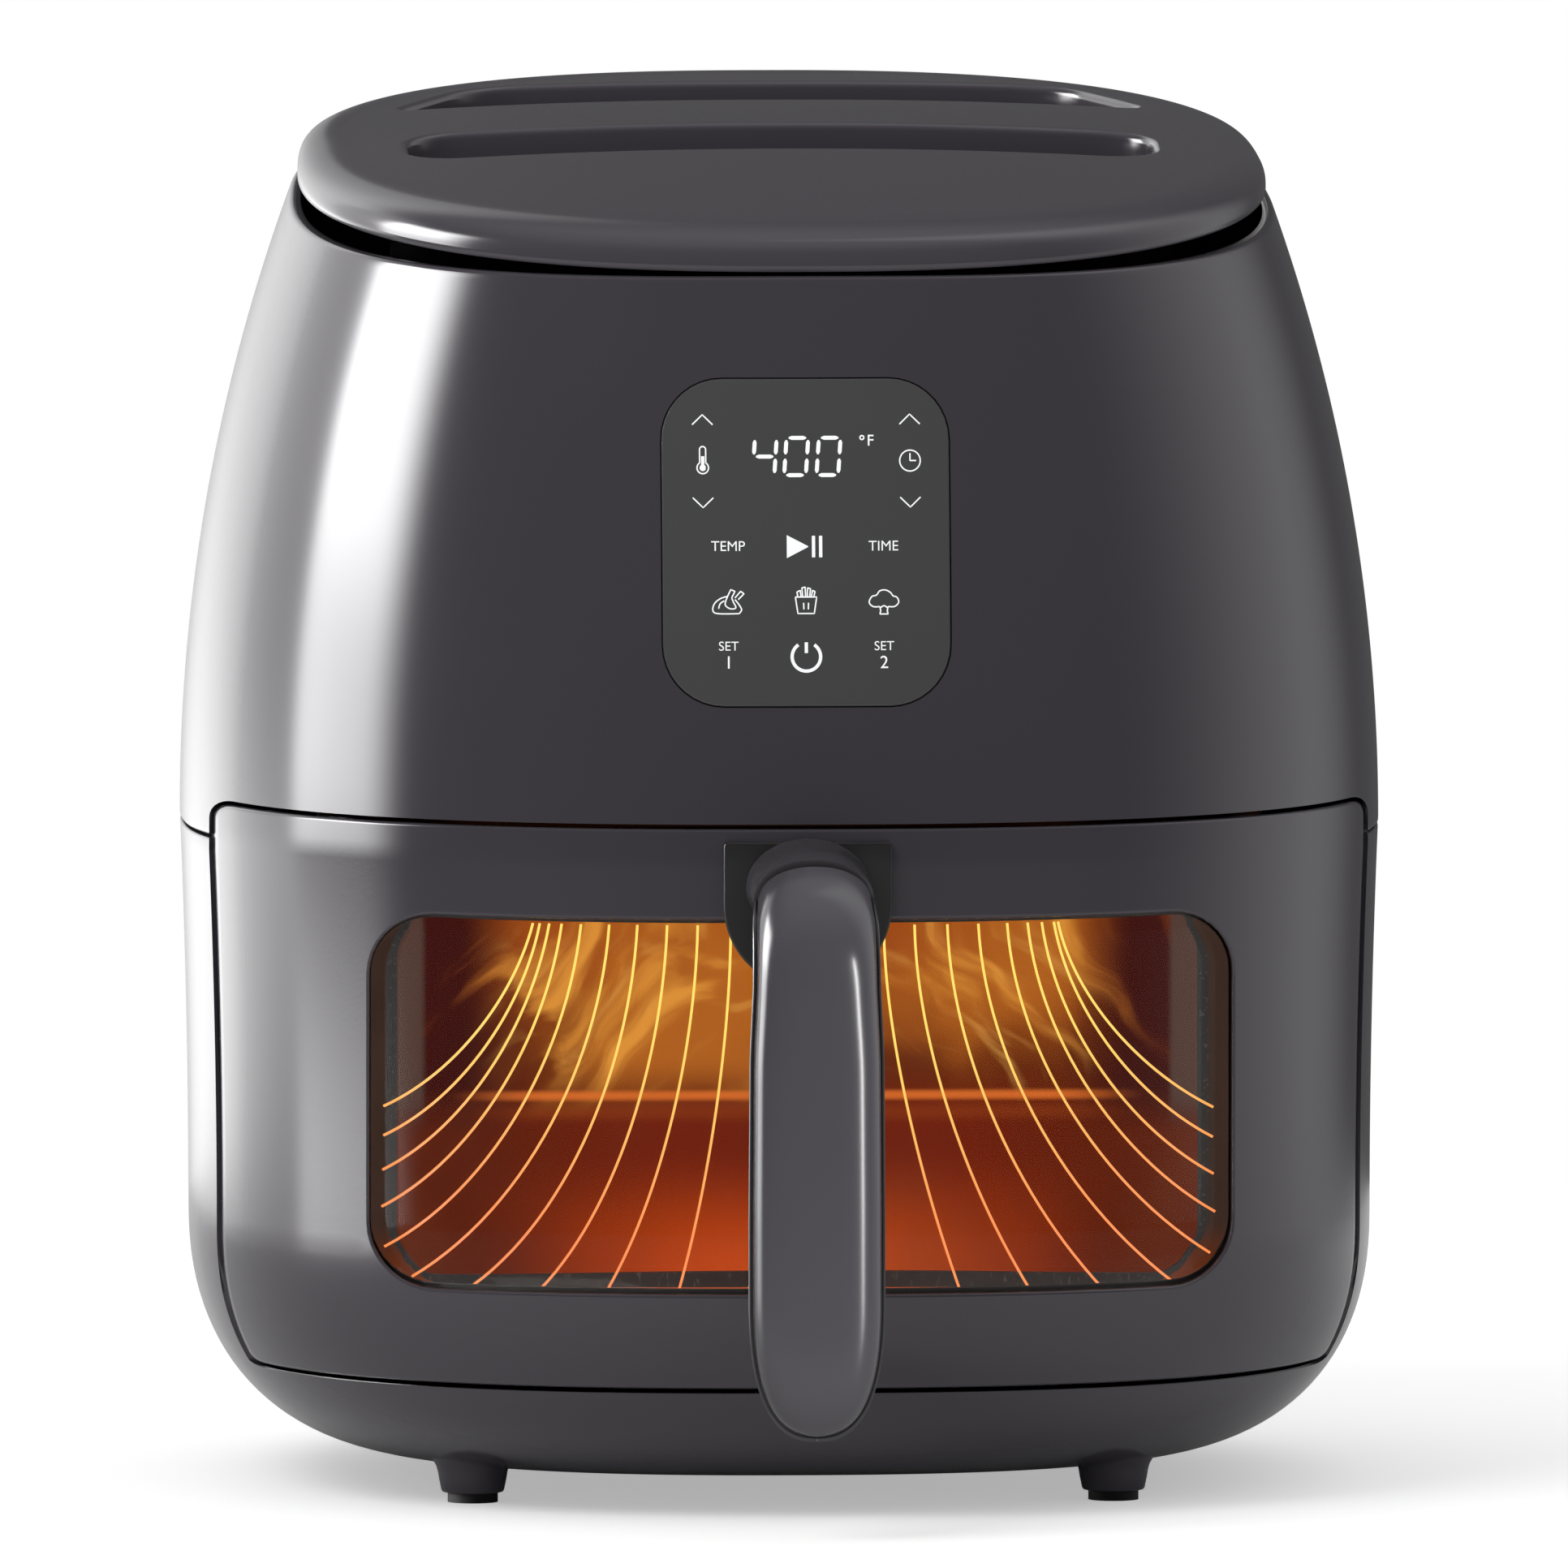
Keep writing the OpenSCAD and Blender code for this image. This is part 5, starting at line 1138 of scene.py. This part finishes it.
wedge_width = np.linspace(5.4, 0.2, len(wedge))[:, None]
stroke_widths = ([LINE_W] * len(thin + food) + [BOLD_W] * len(bold) + [wedge_width]
                 + [tapered] * len(digits))
print_strokes = strips("panel_print", thin + food + bold + [wedge] + digits, stroke_widths, PRINT_INSET)
labels = [words(*label) for label in LABELS]
select(print_strokes)
for piece in labels:
    piece.select_set(True)
bpy.ops.object.join()
print_strokes.name = "panel_print"
size_line(print_strokes)

# %% [markdown]
# ## A way to write finishes
#
# A finish is a tree of shader nodes. Sums on sockets read best as Python sums, so a small class
# wraps a socket and turns each operator into a Math node. Every other node comes from one
# method that takes its type, its settings and its inputs.

# %% Shader sums
class Wire:
    """An output socket on which + - * / and abs add Math nodes."""

    def __init__(self, finish, socket):
        self.finish, self.socket = finish, socket

    def maths(self, operation, *values):
        return self.finish.node("ShaderNodeMath", {"operation": operation}, *values)

    def __add__(self, other):
        return self.maths("ADD", self, other)

    def __radd__(self, other):
        return self.maths("ADD", other, self)

    def __sub__(self, other):
        return self.maths("SUBTRACT", self, other)

    def __rsub__(self, other):
        return self.maths("SUBTRACT", other, self)

    def __mul__(self, other):
        return self.maths("MULTIPLY", self, other)

    def __rmul__(self, other):
        return self.maths("MULTIPLY", other, self)

    def __truediv__(self, other):
        return self.maths("DIVIDE", self, other)

    def __rtruediv__(self, other):
        return self.maths("DIVIDE", other, self)

    def __abs__(self):
        return self.maths("ABSOLUTE", self)

    def ramp(self, start, end):
        """0 at start, 1 at end, with a soft step between."""
        soft = {"interpolation_type": "SMOOTHSTEP"}
        return self.finish.node("ShaderNodeMapRange", soft, self, start, end, 0.0, 1.0)

print("sums on sockets ready")

# %% Node trees
class Finish:
    """The node tree of one material or of the world."""

    def __init__(self, tree):
        self.tree = tree
        tree.nodes.clear()

    def node(self, kind, settings=None, *values, out=0, **named):
        node = self.tree.nodes.new(kind)
        for key, value in (settings or {}).items():
            setattr(node, key, value)
        for key, value in list(enumerate(values)) + list(named.items()):
            socket = node.inputs[key if isinstance(key, int) else key.replace("_", " ")]
            if isinstance(value, Wire):
                self.tree.links.new(value.socket, socket)
            elif value is not None:
                socket.default_value = value
        return Wire(self, node.outputs[out])

    def place(self):
        """Object coordinates."""
        return self.node("ShaderNodeTexCoord", out=3)

    def parts(self, vector):
        """The x, y and z of a vector, one by one."""
        split = self.node("ShaderNodeSeparateXYZ", {}, vector).socket.node
        return [Wire(self, socket) for socket in split.outputs]

    def noise(self, scale, detail=3.0, where=None):
        return self.node("ShaderNodeTexNoise", {}, where or self.place(), Scale=scale, Detail=detail)

    def mix(self, factor, a, b):
        node = self.tree.nodes.new("ShaderNodeMix")
        node.data_type = "RGBA"
        for socket, value in zip((node.inputs[0], node.inputs[6], node.inputs[7]), (factor, a, b)):
            if isinstance(value, Wire):
                self.tree.links.new(value.socket, socket)
            else:
                socket.default_value = value
        return Wire(self, node.outputs[2])


print("node trees ready")

# %% Colours and materials
def rgb(r, g, b, a=1.0):
    return (r, g, b, a)


def new_finish(name):
    material = bpy.data.materials.new(name)
    material.use_nodes = True
    return material, Finish(material.node_tree)


def close(material, finish, surface):
    output = finish.tree.nodes.new("ShaderNodeOutputMaterial")
    finish.tree.links.new(surface.socket, output.inputs[0])
    material.cycles.emission_sampling = "NONE"
    return material


print("helpers for materials ready")

# %% [markdown]
# ## Moulded plastics
#
# The housings are glossy, warm grey ABS. A polished mould leaves a clear surface with a little
# haze, so the roughness drifts by a few hundredths, and a very weak, fine bump keeps the
# reflections from being perfect. The matte parts have the same grain made deeper, as a
# spark-eroded mould leaves it.

# %% Plastic finishes
HAZE_SCALE, SPECK_SCALE, HAZE_DRIFT = 14.0, 900.0, 0.03


def shaded(colour, factor):
    return rgb(*[min(1, c * factor) for c in colour])


def relief(f, height):
    """A bump whose height is given in millimetres."""
    return f.node("ShaderNodeBump", {}, Strength=1.0, Distance=MM, Height=height)


def plastic(name, colour, rough, grain=0.0):
    material, f = new_finish(name)
    haze = f.noise(HAZE_SCALE, 2.0)
    speck = f.noise(SPECK_SCALE, 2.0)
    surface = f.node("ShaderNodeBsdfPrincipled", {},
                     Base_Color=f.mix(haze, shaded(colour, 0.96), shaded(colour, 1.04)),
                     Roughness=haze * HAZE_DRIFT + (rough - HAZE_DRIFT / 2), Normal=relief(f, speck * grain))
    return close(material, f, surface)


print("plastic helper ready")

# %% The plastics of the parts
finishes = {
    "body_plastic": plastic("body_plastic", (0.051, 0.046, 0.055), 0.17, grain=0.004),
    "cover_plastic": plastic("cover_plastic", (0.060, 0.055, 0.065), 0.17, grain=0.004),
    "tub_plastic": plastic("tub_plastic", (0.012, 0.011, 0.013), 0.22, grain=0.01),
    "black_plastic": plastic("black_plastic", (0.010, 0.010, 0.011), 0.5, grain=0.06),
    "vent_plastic": plastic("vent_plastic", (0.012, 0.012, 0.013), 0.45, grain=0.05),
    "liner_plastic": plastic("liner_plastic", (0.012, 0.011, 0.012), 0.42, grain=0.04),
    "bracket_plastic": plastic("bracket_plastic", (0.018, 0.019, 0.018), 0.32, grain=0.01),
    "handle_plastic": plastic("handle_plastic", (0.056, 0.053, 0.061), 0.2, grain=0.004),
    "handle_back_plastic": plastic("handle_back_plastic", (0.05, 0.047, 0.053), 0.22, grain=0.004),
    "panel_glass": plastic("panel_glass", (0.066, 0.066, 0.067), 0.3, grain=0.003),
    "red_plastic": plastic("red_plastic", (0.42, 0.02, 0.012), 0.35, grain=0.02),
    "foot_rubber": plastic("foot_rubber", (0.006, 0.006, 0.006), 0.75, grain=0.12),
    "gland_rubber": plastic("gland_rubber", (0.01, 0.01, 0.01), 0.7, grain=0.1),
    "gasket_rubber": plastic("gasket_rubber", (0.009, 0.007, 0.006), 0.5, grain=0.03),
    "ceramic": plastic("ceramic", (0.74, 0.71, 0.62), 0.6, grain=0.08),
}
print(len(finishes), "plastics and rubbers")

# %% [markdown]
# ## Metals
#
# Sheet steel is rolled, so its scratches run one way: a noise that is stretched along one axis
# drives roughness and bump. Pressed aluminium is finer and paler, and the heating tube is
# dark with the blue and brown of hot oxide.

# %% Metal finishes
CLOUD_SCALE, SCRATCH_DRIFT = 25.0, 0.15


def metal(name, colour, rough, stretch=(900.0, 30.0, 900.0), depth=0.02, tint=None):
    material, f = new_finish(name)
    grain = f.noise(1.0, 3.0, f.node("ShaderNodeMapping", {}, f.place(), Scale=stretch))
    tone = f.mix(f.noise(CLOUD_SCALE, 2.0), shaded(colour, 0.93), rgb(*(tint or colour)))
    surface = f.node("ShaderNodeBsdfPrincipled", {}, Base_Color=tone, Metallic=1.0,
                     Roughness=grain * SCRATCH_DRIFT + (rough - SCRATCH_DRIFT / 2),
                     Normal=relief(f, grain * depth))
    return close(material, f, surface)


print("metal helper ready")

# %% The metals of the parts
finishes.update({
    "screw_steel": metal("screw_steel", (0.62, 0.62, 0.63), 0.3, depth=0.005),
    "chamber_steel": metal("chamber_steel", (0.55, 0.55, 0.56), 0.36),
    "guard_steel": metal("guard_steel", (0.66, 0.66, 0.67), 0.22, depth=0.004),
    "rail_steel": metal("rail_steel", (0.62, 0.62, 0.63), 0.28),
    "element_steel": metal("element_steel", (0.10, 0.085, 0.075), 0.45, tint=(0.16, 0.10, 0.07)),
    "motor_steel": metal("motor_steel", (0.5, 0.51, 0.53), 0.35, stretch=(300.0, 300.0, 40.0)),
    "fan_aluminium": metal("fan_aluminium", (0.75, 0.75, 0.76), 0.33, stretch=(250.0, 250.0, 250.0)),
})


print(len(finishes), "plastics and metals")

# %% Coating and circuit board
def coating(name):
    """Nonstick coating: near black, with fine paler specks."""
    material, f = new_finish(name)
    speck = f.noise(1400.0, 1.0).ramp(0.62, 0.70)
    tone = f.mix(speck, rgb(0.010, 0.009, 0.009), rgb(0.07, 0.065, 0.06))
    surface = f.node("ShaderNodeBsdfPrincipled", {}, Base_Color=tone, Roughness=speck * 0.1 + 0.36,
                     Normal=relief(f, f.noise(500.0, 3.0) * 0.05))
    return close(material, f, surface)


def board(name):
    """Green solder mask over copper tracks."""
    material, f = new_finish(name)
    tracks = f.node("ShaderNodeTexBrick", {}, f.place(), Scale=220.0, Mortar_Size=0.03, out=1)
    tone = f.mix(tracks, rgb(0.006, 0.07, 0.028), rgb(0.015, 0.13, 0.05))
    surface = f.node("ShaderNodeBsdfPrincipled", {}, Base_Color=tone, Roughness=tracks * 0.1 + 0.3)
    return close(material, f, surface)


finishes["nonstick"] = coating("nonstick")
finishes["circuit_board"] = board("circuit_board")
print(len(finishes), "finishes so far")

# %% [markdown]
# ## Glass and the glow behind it
#
# The outer glass is clear with a faint amber tint. The lit cavity behind it is painted light on
# the inner pane: an emission whose colour follows the height. It is built up in layers, from the
# broad colours to the small ones: a painted glow, amber above and red below, lit wisps of smoke,
# painted shade in the upper corners, a painted highlight along the rack and a painted red glow
# near the floor. Each layer is laid over the last one by a mask. The lines, the print and the
# lining have finishes of their own that also give light; on the lines and the lining it is
# painted glow.

# %% Glass finishes
def clear(name, colour, rough=0.0, bend=1.45):
    material, f = new_finish(name)
    tone = f.mix(f.noise(9.0, 1.0), shaded(colour, 0.99), rgb(*colour))
    surface = f.node("ShaderNodeBsdfPrincipled", {}, Base_Color=tone, Roughness=rough, IOR=bend,
                     Transmission_Weight=1.0)
    return close(material, f, surface)


finishes["window_glass"] = clear("window_glass", (1.0, 0.985, 0.965), bend=1.16)
finishes["clear_glass"] = clear("clear_glass", (0.98, 0.99, 1.0), 0.02)


def warm_bulb():
    material, f = new_finish("lamp_glass")
    tone = f.mix(f.noise(60.0), rgb(1.0, 0.72, 0.36), rgb(1.0, 0.8, 0.5))
    surface = f.node("ShaderNodeBsdfPrincipled", {}, Base_Color=tone, Roughness=0.4, Emission_Color=tone,
                     Emission_Strength=0.6)
    return close(material, f, surface)


finishes["lamp_glass"] = warm_bulb()
print("glass finishes ready")

# %% The glow of the inner pane
#       places in metres: the window's lower edge, its height and half width, the rack and its lip
GLOW_FOOT, GLOW_HEIGHT, GLOW_HALF, RACK_Z, RACK_LIP_Z = 0.055, 0.089, 0.098, 0.0985, 0.0945


def amber_glow():
    """The lit cavity, all painted light: painted shade in the corners, lit wisps, a painted highlight on the
    rack and a red glow low down.
    """
    material, f = new_finish("inner_glass")
    x, y, z = f.parts(f.place())
    height = (z - GLOW_FOOT) / GLOW_HEIGHT
    away = abs(x)
    side = away / GLOW_HALF
    warp = f.noise(24.0, 2.0)
    swirl = f.noise(11.0, 2.0)
    lean = z + away * 0.1 + away * away * 6.0 + warp * 0.045 + swirl * 0.03
    spot = f.node("ShaderNodeCombineXYZ", {}, x * 18.0 + warp * 1.4, lean * 62.0, z * 4.0)
    wisps = f.noise(1.0, 5.0, spot).ramp(0.54, 0.72)
    fine = f.noise(2.2, 4.0, spot).ramp(0.54, 0.76)
    cloud = f.noise(17.0, 3.0)
    above = height.ramp(0.42, 0.60)
    # All of this emission is painted light: the glow of the lit cavity, red below and amber above.
    lower = f.mix(side.ramp(0.25, 0.9), rgb(0.150, 0.011, 0.0010), rgb(0.095, 0.010, 0.0010))
    upper = f.mix(height.ramp(0.55, 0.95), rgb(0.12, 0.018, 0.0015), rgb(0.33, 0.066, 0.006))
    base = f.mix(above, lower, upper)
    # Painted glow: brighter amber patches in the upper part.
    warm = f.mix(cloud.ramp(0.42, 0.66) * above, base, rgb(0.42, 0.115, 0.010))
    # Lit wisps and streaks of smoke, painted as glow and kept off the sides.
    veil = above * (1 - side.ramp(0.60, 0.90))
    lit_smoke = f.mix(wisps * veil * 0.9, warm, rgb(0.74, 0.30, 0.040))
    streak = f.mix(fine * veil * 0.35, lit_smoke, rgb(0.85, 0.42, 0.085))
    # Painted shade: the upper corners are darkened, less where the wisps are.
    corner = f.mix(side.ramp(0.62, 0.82) * height.ramp(0.36, 0.52) * (1 - wisps * 0.75), streak,
                   rgb(0.042, 0.0032, 0.0020))
    # Painted highlight: a bright line along the rack and a dimmer one along its lip, kept off the sides.
    inside = 1 - side.ramp(0.60, 0.86)
    rack_highlight = (1 - abs(z - RACK_Z) * 560.0).ramp(0.0, 0.9) * inside
    line = f.mix(rack_highlight * 0.8, corner, rgb(0.72, 0.16, 0.022))
    rack_lip_highlight = (1 - abs(z - RACK_LIP_Z) * 330.0).ramp(0.0, 1.0) * inside
    rim = f.mix(rack_lip_highlight * 0.35, line, rgb(0.30, 0.05, 0.005))
    # Painted glow: red light near the floor, weaker towards the sides.
    low = (1 - height.ramp(0.0, 0.36)) * (1 - (side * (cloud * 0.7 + 0.65)).ramp(0.10, 0.80))
    painted_floor_glow = f.mix(low * 0.9, rim, rgb(0.54, 0.062, 0.003))
    # Painted glow: a faint red haze low down.
    haze = f.mix(cloud.ramp(0.5, 0.75) * (1 - above) * 0.35, painted_floor_glow, rgb(0.16, 0.045, 0.012))
    # The cavity's brown walls at the sides, emitted: their own colour given as painted glow.
    wall = f.mix(side.ramp(0.895, 0.915) * height.ramp(0.38, 0.5), haze, rgb(0.078, 0.040, 0.030))
    surface = f.node("ShaderNodeBsdfPrincipled", {}, Base_Color=rgb(0.001, 0.001, 0.001),
                     Roughness=cloud * 0.05 + 0.3, Specular_IOR_Level=0.0,
                     Emission_Color=wall, Emission_Strength=1.0)
    return close(material, f, surface)


finishes["inner_glass"] = amber_glow()
print(len(finishes), "finishes")

# %% Finishes of the lines, the print and the lining
def line_glow():
    """Painted glow: yellow near the top and orange towards the floor and the sides."""
    material, f = new_finish("glow_line")
    x, y, z = f.parts(f.place())
    high = ((z - GLOW_FOOT) / GLOW_HEIGHT + abs(x) * -2.0).ramp(0.0, 0.75)
    tone = f.mix(high, rgb(1.0, 0.27, 0.075), rgb(1.0, 0.70, 0.13))
    surface = f.node("ShaderNodeBsdfPrincipled", {}, Base_Color=rgb(0.0, 0.0, 0.0), Roughness=0.5,
                     Emission_Color=tone, Emission_Strength=1.15)
    return close(material, f, surface)


def print_glow():
    material, f = new_finish("panel_print")
    tone = f.mix(f.noise(200.0), rgb(0.78, 0.79, 0.80), rgb(0.86, 0.87, 0.88))
    surface = f.node("ShaderNodeBsdfPrincipled", {}, Base_Color=tone, Roughness=0.5, Emission_Color=tone,
                     Emission_Strength=0.35)
    return close(material, f, surface)


def lining_glow():
    """The sleeve, painted as lit: a brown glow at the sides, with the fire's orange painted on its floor."""
    material, f = new_finish("lining_glow")
    x, y, z = f.parts(f.place())
    cloud = f.noise(30.0, 2.0)
    side = abs(x / 0.1)
    # The brown of the sleeve's walls, emitted: its own colour given as painted glow.
    upright = f.mix(f.noise(60.0, 2.0), rgb(0.030, 0.017, 0.012), rgb(0.052, 0.030, 0.022))
    # Painted glow: the fire's orange on the sleeve's floor, brighter towards the middle.
    lit = f.mix(side.ramp(0.1, 1.0) * (cloud * 0.4 + 0.8), rgb(0.44, 0.075, 0.009), rgb(0.11, 0.022, 0.006))
    low = 1 - ((z - 0.056) / 0.014).ramp(0.0, 1.0)
    surface = f.node("ShaderNodeBsdfPrincipled", {}, Base_Color=rgb(0.002, 0.001, 0.001),
                     Roughness=cloud * 0.05 + 0.4, Specular_IOR_Level=0.05,
                     Emission_Color=f.mix(low, upright, lit), Emission_Strength=1.0)
    return close(material, f, surface)


glow_line, lit_print, lit_lining = line_glow(), print_glow(), lining_glow()
print("finishes of", glow_line.name, lit_print.name, "and", lit_lining.name, "ready")

# %% [markdown]
# ## Dressing the parts
#
# Every node of the frame takes the finish that its slot names. The new pieces ride on the same
# bodies as the nodes they stand for, take the same slots, and hide those nodes.

# %% Finishes onto the nodes
slots_of = {row["node"]: row["material_slot"] for row in frame["record"]["subparts"]}
for name, node in frame["nodes"].items():
    node.data.materials.clear()
    node.data.materials.append(finishes[slots_of[name]])
print(len(frame["nodes"]), "nodes dressed")


def dress(piece, body, slot, stands_for=(), finish=None):
    piece.data.materials.clear()
    piece.data.materials.append(finish or finishes[slot])
    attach(piece, body)
    if stands_for:
        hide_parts(*stands_for)


dress(upper, "housing", "body_plastic", ["upper_housing"])
dress(lower, "housing", "body_plastic", ["lower_housing"])
dress(cover, "housing", "cover_plastic", ["top_cover"])
dress(panel, "housing", "panel_glass", ["touch_panel"])
dress(print_strokes, "housing", "panel_glass", (), lit_print)
dress(vent, "housing", "vent_plastic", ["rear_vent_grille"])
dress(drawer_face, "drawer", "body_plastic", ["drawer_front"])
dress(glass, "drawer", "window_glass", ["window_glass"])
dress(gasket, "drawer", "gasket_rubber", ["window_gasket"])
dress(lines, "drawer", "inner_glass", (), glow_line)
dress(sleeve, "drawer", "gasket_rubber", (), lit_lining)
dress(bracket, "drawer", "bracket_plastic", ["handle_bracket"])
dress(grip_front, "drawer", "handle_plastic", ["handle_front_shell"])
dress(grip_back, "drawer", "handle_back_plastic", ["handle_back_shell"])
print("new pieces dressed")

# %% [markdown]
# ## Camera
#
# The camera stands far away with a long lens, a little above the object and a little to its
# left, so that upright lines stay upright. The object's place in the frame comes from a target
# point in the middle of the view.

# %% Camera
deselect()
bpy.ops.object.camera_add()
camera = bpy.context.object
DISTANCE, VIEW_H, SENSOR = 16.0, 0.3751, 36
TARGET = Vector((0.0013, 0.028, 0.1655))
azimuth, elevation = math.radians(2.65), math.radians(4.3)
away = Vector((-math.sin(azimuth) * math.cos(elevation), -math.cos(azimuth) * math.cos(elevation),
               math.sin(elevation)))
camera.location = TARGET + away * DISTANCE
camera.rotation_mode = "QUATERNION"
camera.rotation_quaternion = away.to_track_quat("Z", "Y")
camera.data.sensor_width = camera.data.sensor_height = SENSOR
camera.data.sensor_fit = "HORIZONTAL"
camera.data.lens = SENSOR * DISTANCE / VIEW_H
camera.data.clip_start, camera.data.clip_end = 1, 100
bpy.context.scene.camera = camera
print("lens", round(camera.data.lens), "mm")

# %% [markdown]
# ## Floor, world and light
#
# The floor is a plain pale sheet. For the camera it is white apart from the object's shadow.
# The world is white to the camera and through glass. Reflections see a studio with one large
# softbox at the left, a pale wall behind it and a dim side at the right, laid out by angle: how
# far a direction is turned to the left of the front, and how far it rises. Everything else gets
# plain soft light.

# %% Floor
bpy.ops.mesh.primitive_circle_add(vertices=128, radius=0.9, fill_type="NGON", location=(0, 0, 0))
floor = bpy.context.object
floor.name = "floor"
size_line(floor)
material, f = new_finish("floor_white")
paths = f.tree.nodes.new("ShaderNodeLightPath")
camera_ray = Wire(f, paths.outputs["Is Camera Ray"])
pale = f.node("ShaderNodeBsdfDiffuse", {}, rgb(0.82, 0.82, 0.82))
shine = f.node("ShaderNodeEmission", {}, rgb(1, 1, 1), camera_ray * 0.42)
close(material, f, f.node("ShaderNodeAddShader", {}, pale, shine))
floor.data.materials.append(material)

# %% World
world = bpy.data.worlds.new("studio")
bpy.context.scene.world = world
world.use_nodes = True
w = Finish(world.node_tree)
paths = w.tree.nodes.new("ShaderNodeLightPath")
straight = Wire(w, paths.outputs["Is Camera Ray"]) + Wire(w, paths.outputs["Is Transmission Ray"])
glossy = Wire(w, paths.outputs["Is Glossy Ray"])
dx, dy, dz = w.parts(w.node("ShaderNodeTexCoord", {}, out=0))
leftward = dx.maths("ARCTAN2", dx * -1.0, dy * -1.0) * (180 / math.pi)
rise = dz.maths("ARCSINE", dz) * (180 / math.pi)
softbox = (leftward.ramp(72.0, 86.0) * (1 - leftward.ramp(109.0, 113.0))
           * rise.ramp(-9.0, -2.0) * (1 - rise.ramp(30.0, 40.0)))
left_wall = leftward.ramp(109.0, 113.0) * (1 - leftward.ramp(150.0, 190.0)) * (1 - rise.ramp(34.0, 50.0))
left_edge = leftward.ramp(136.5, 139.5) * (1 - leftward.ramp(141.0, 160.0)) * (1 - rise.ramp(30.0, 45.0))
right_side = (leftward * -1.0).ramp(50.0, 105.0) * (1 - (leftward * -1.0).ramp(115.0, 150.0))
overhead = rise.ramp(35.0, 80.0)
rear = 0.03 + abs(leftward).ramp(120.0, 150.0) * 0.07
softbox_light = softbox * (13.0 + rise.ramp(4.0, 16.0) * 10.0)
wall_light = left_wall * (3.7 - rise.ramp(-9.0, 3.0) * 1.5)
studio = rear + softbox_light + wall_light + left_edge * 0.6 + right_side * 0.95 + overhead * 0.5
soft = 0.62 + overhead * 0.3
strength = straight * 1.0 + glossy * studio + (1 - straight) * (1 - glossy) * soft
background = w.node("ShaderNodeBackground", {}, rgb(1, 1, 1), strength)
output = w.tree.nodes.new("ShaderNodeOutputWorld")
w.tree.links.new(background.socket, output.inputs[0])
world.cycles.sampling_method = "NONE"


print("world:", len(world.node_tree.nodes), "nodes")

# %% Lights
def area_light(name, location, target, width, height, power):
    bpy.ops.object.light_add(type="AREA", location=location)
    light = bpy.context.object
    light.name = name
    light.data.shape, light.data.size, light.data.size_y = "RECTANGLE", width, height
    light.data.energy = power
    light.rotation_mode = "QUATERNION"
    light.rotation_quaternion = (Vector(location) - Vector(target)).to_track_quat("Z", "Y")
    return light


key = area_light("key", (-1.6, -1.8, 2.4), (0, 0, 0.15), 1.6, 1.6, 34)
key.visible_glossy = False
print("key light of", key.data.energy, "W")

# %% [markdown]
# A narrow strip at the right lights the handle's lid alone, for the fine line along its edge.

# %% Strip for the handle
strip = area_light("handle_strip", (0.68, -1.02, 0.20), (0.0, -0.17, 0.1), 0.035, 0.75, 8.0)
lit_pieces = bpy.data.collections.new("handle_strip_pieces")
lit_pieces.objects.link(grip_front)
strip.light_linking.receiver_collection = lit_pieces
print("studio ready")

# %% View
scene = bpy.context.scene
scene.view_settings.view_transform = "Standard"
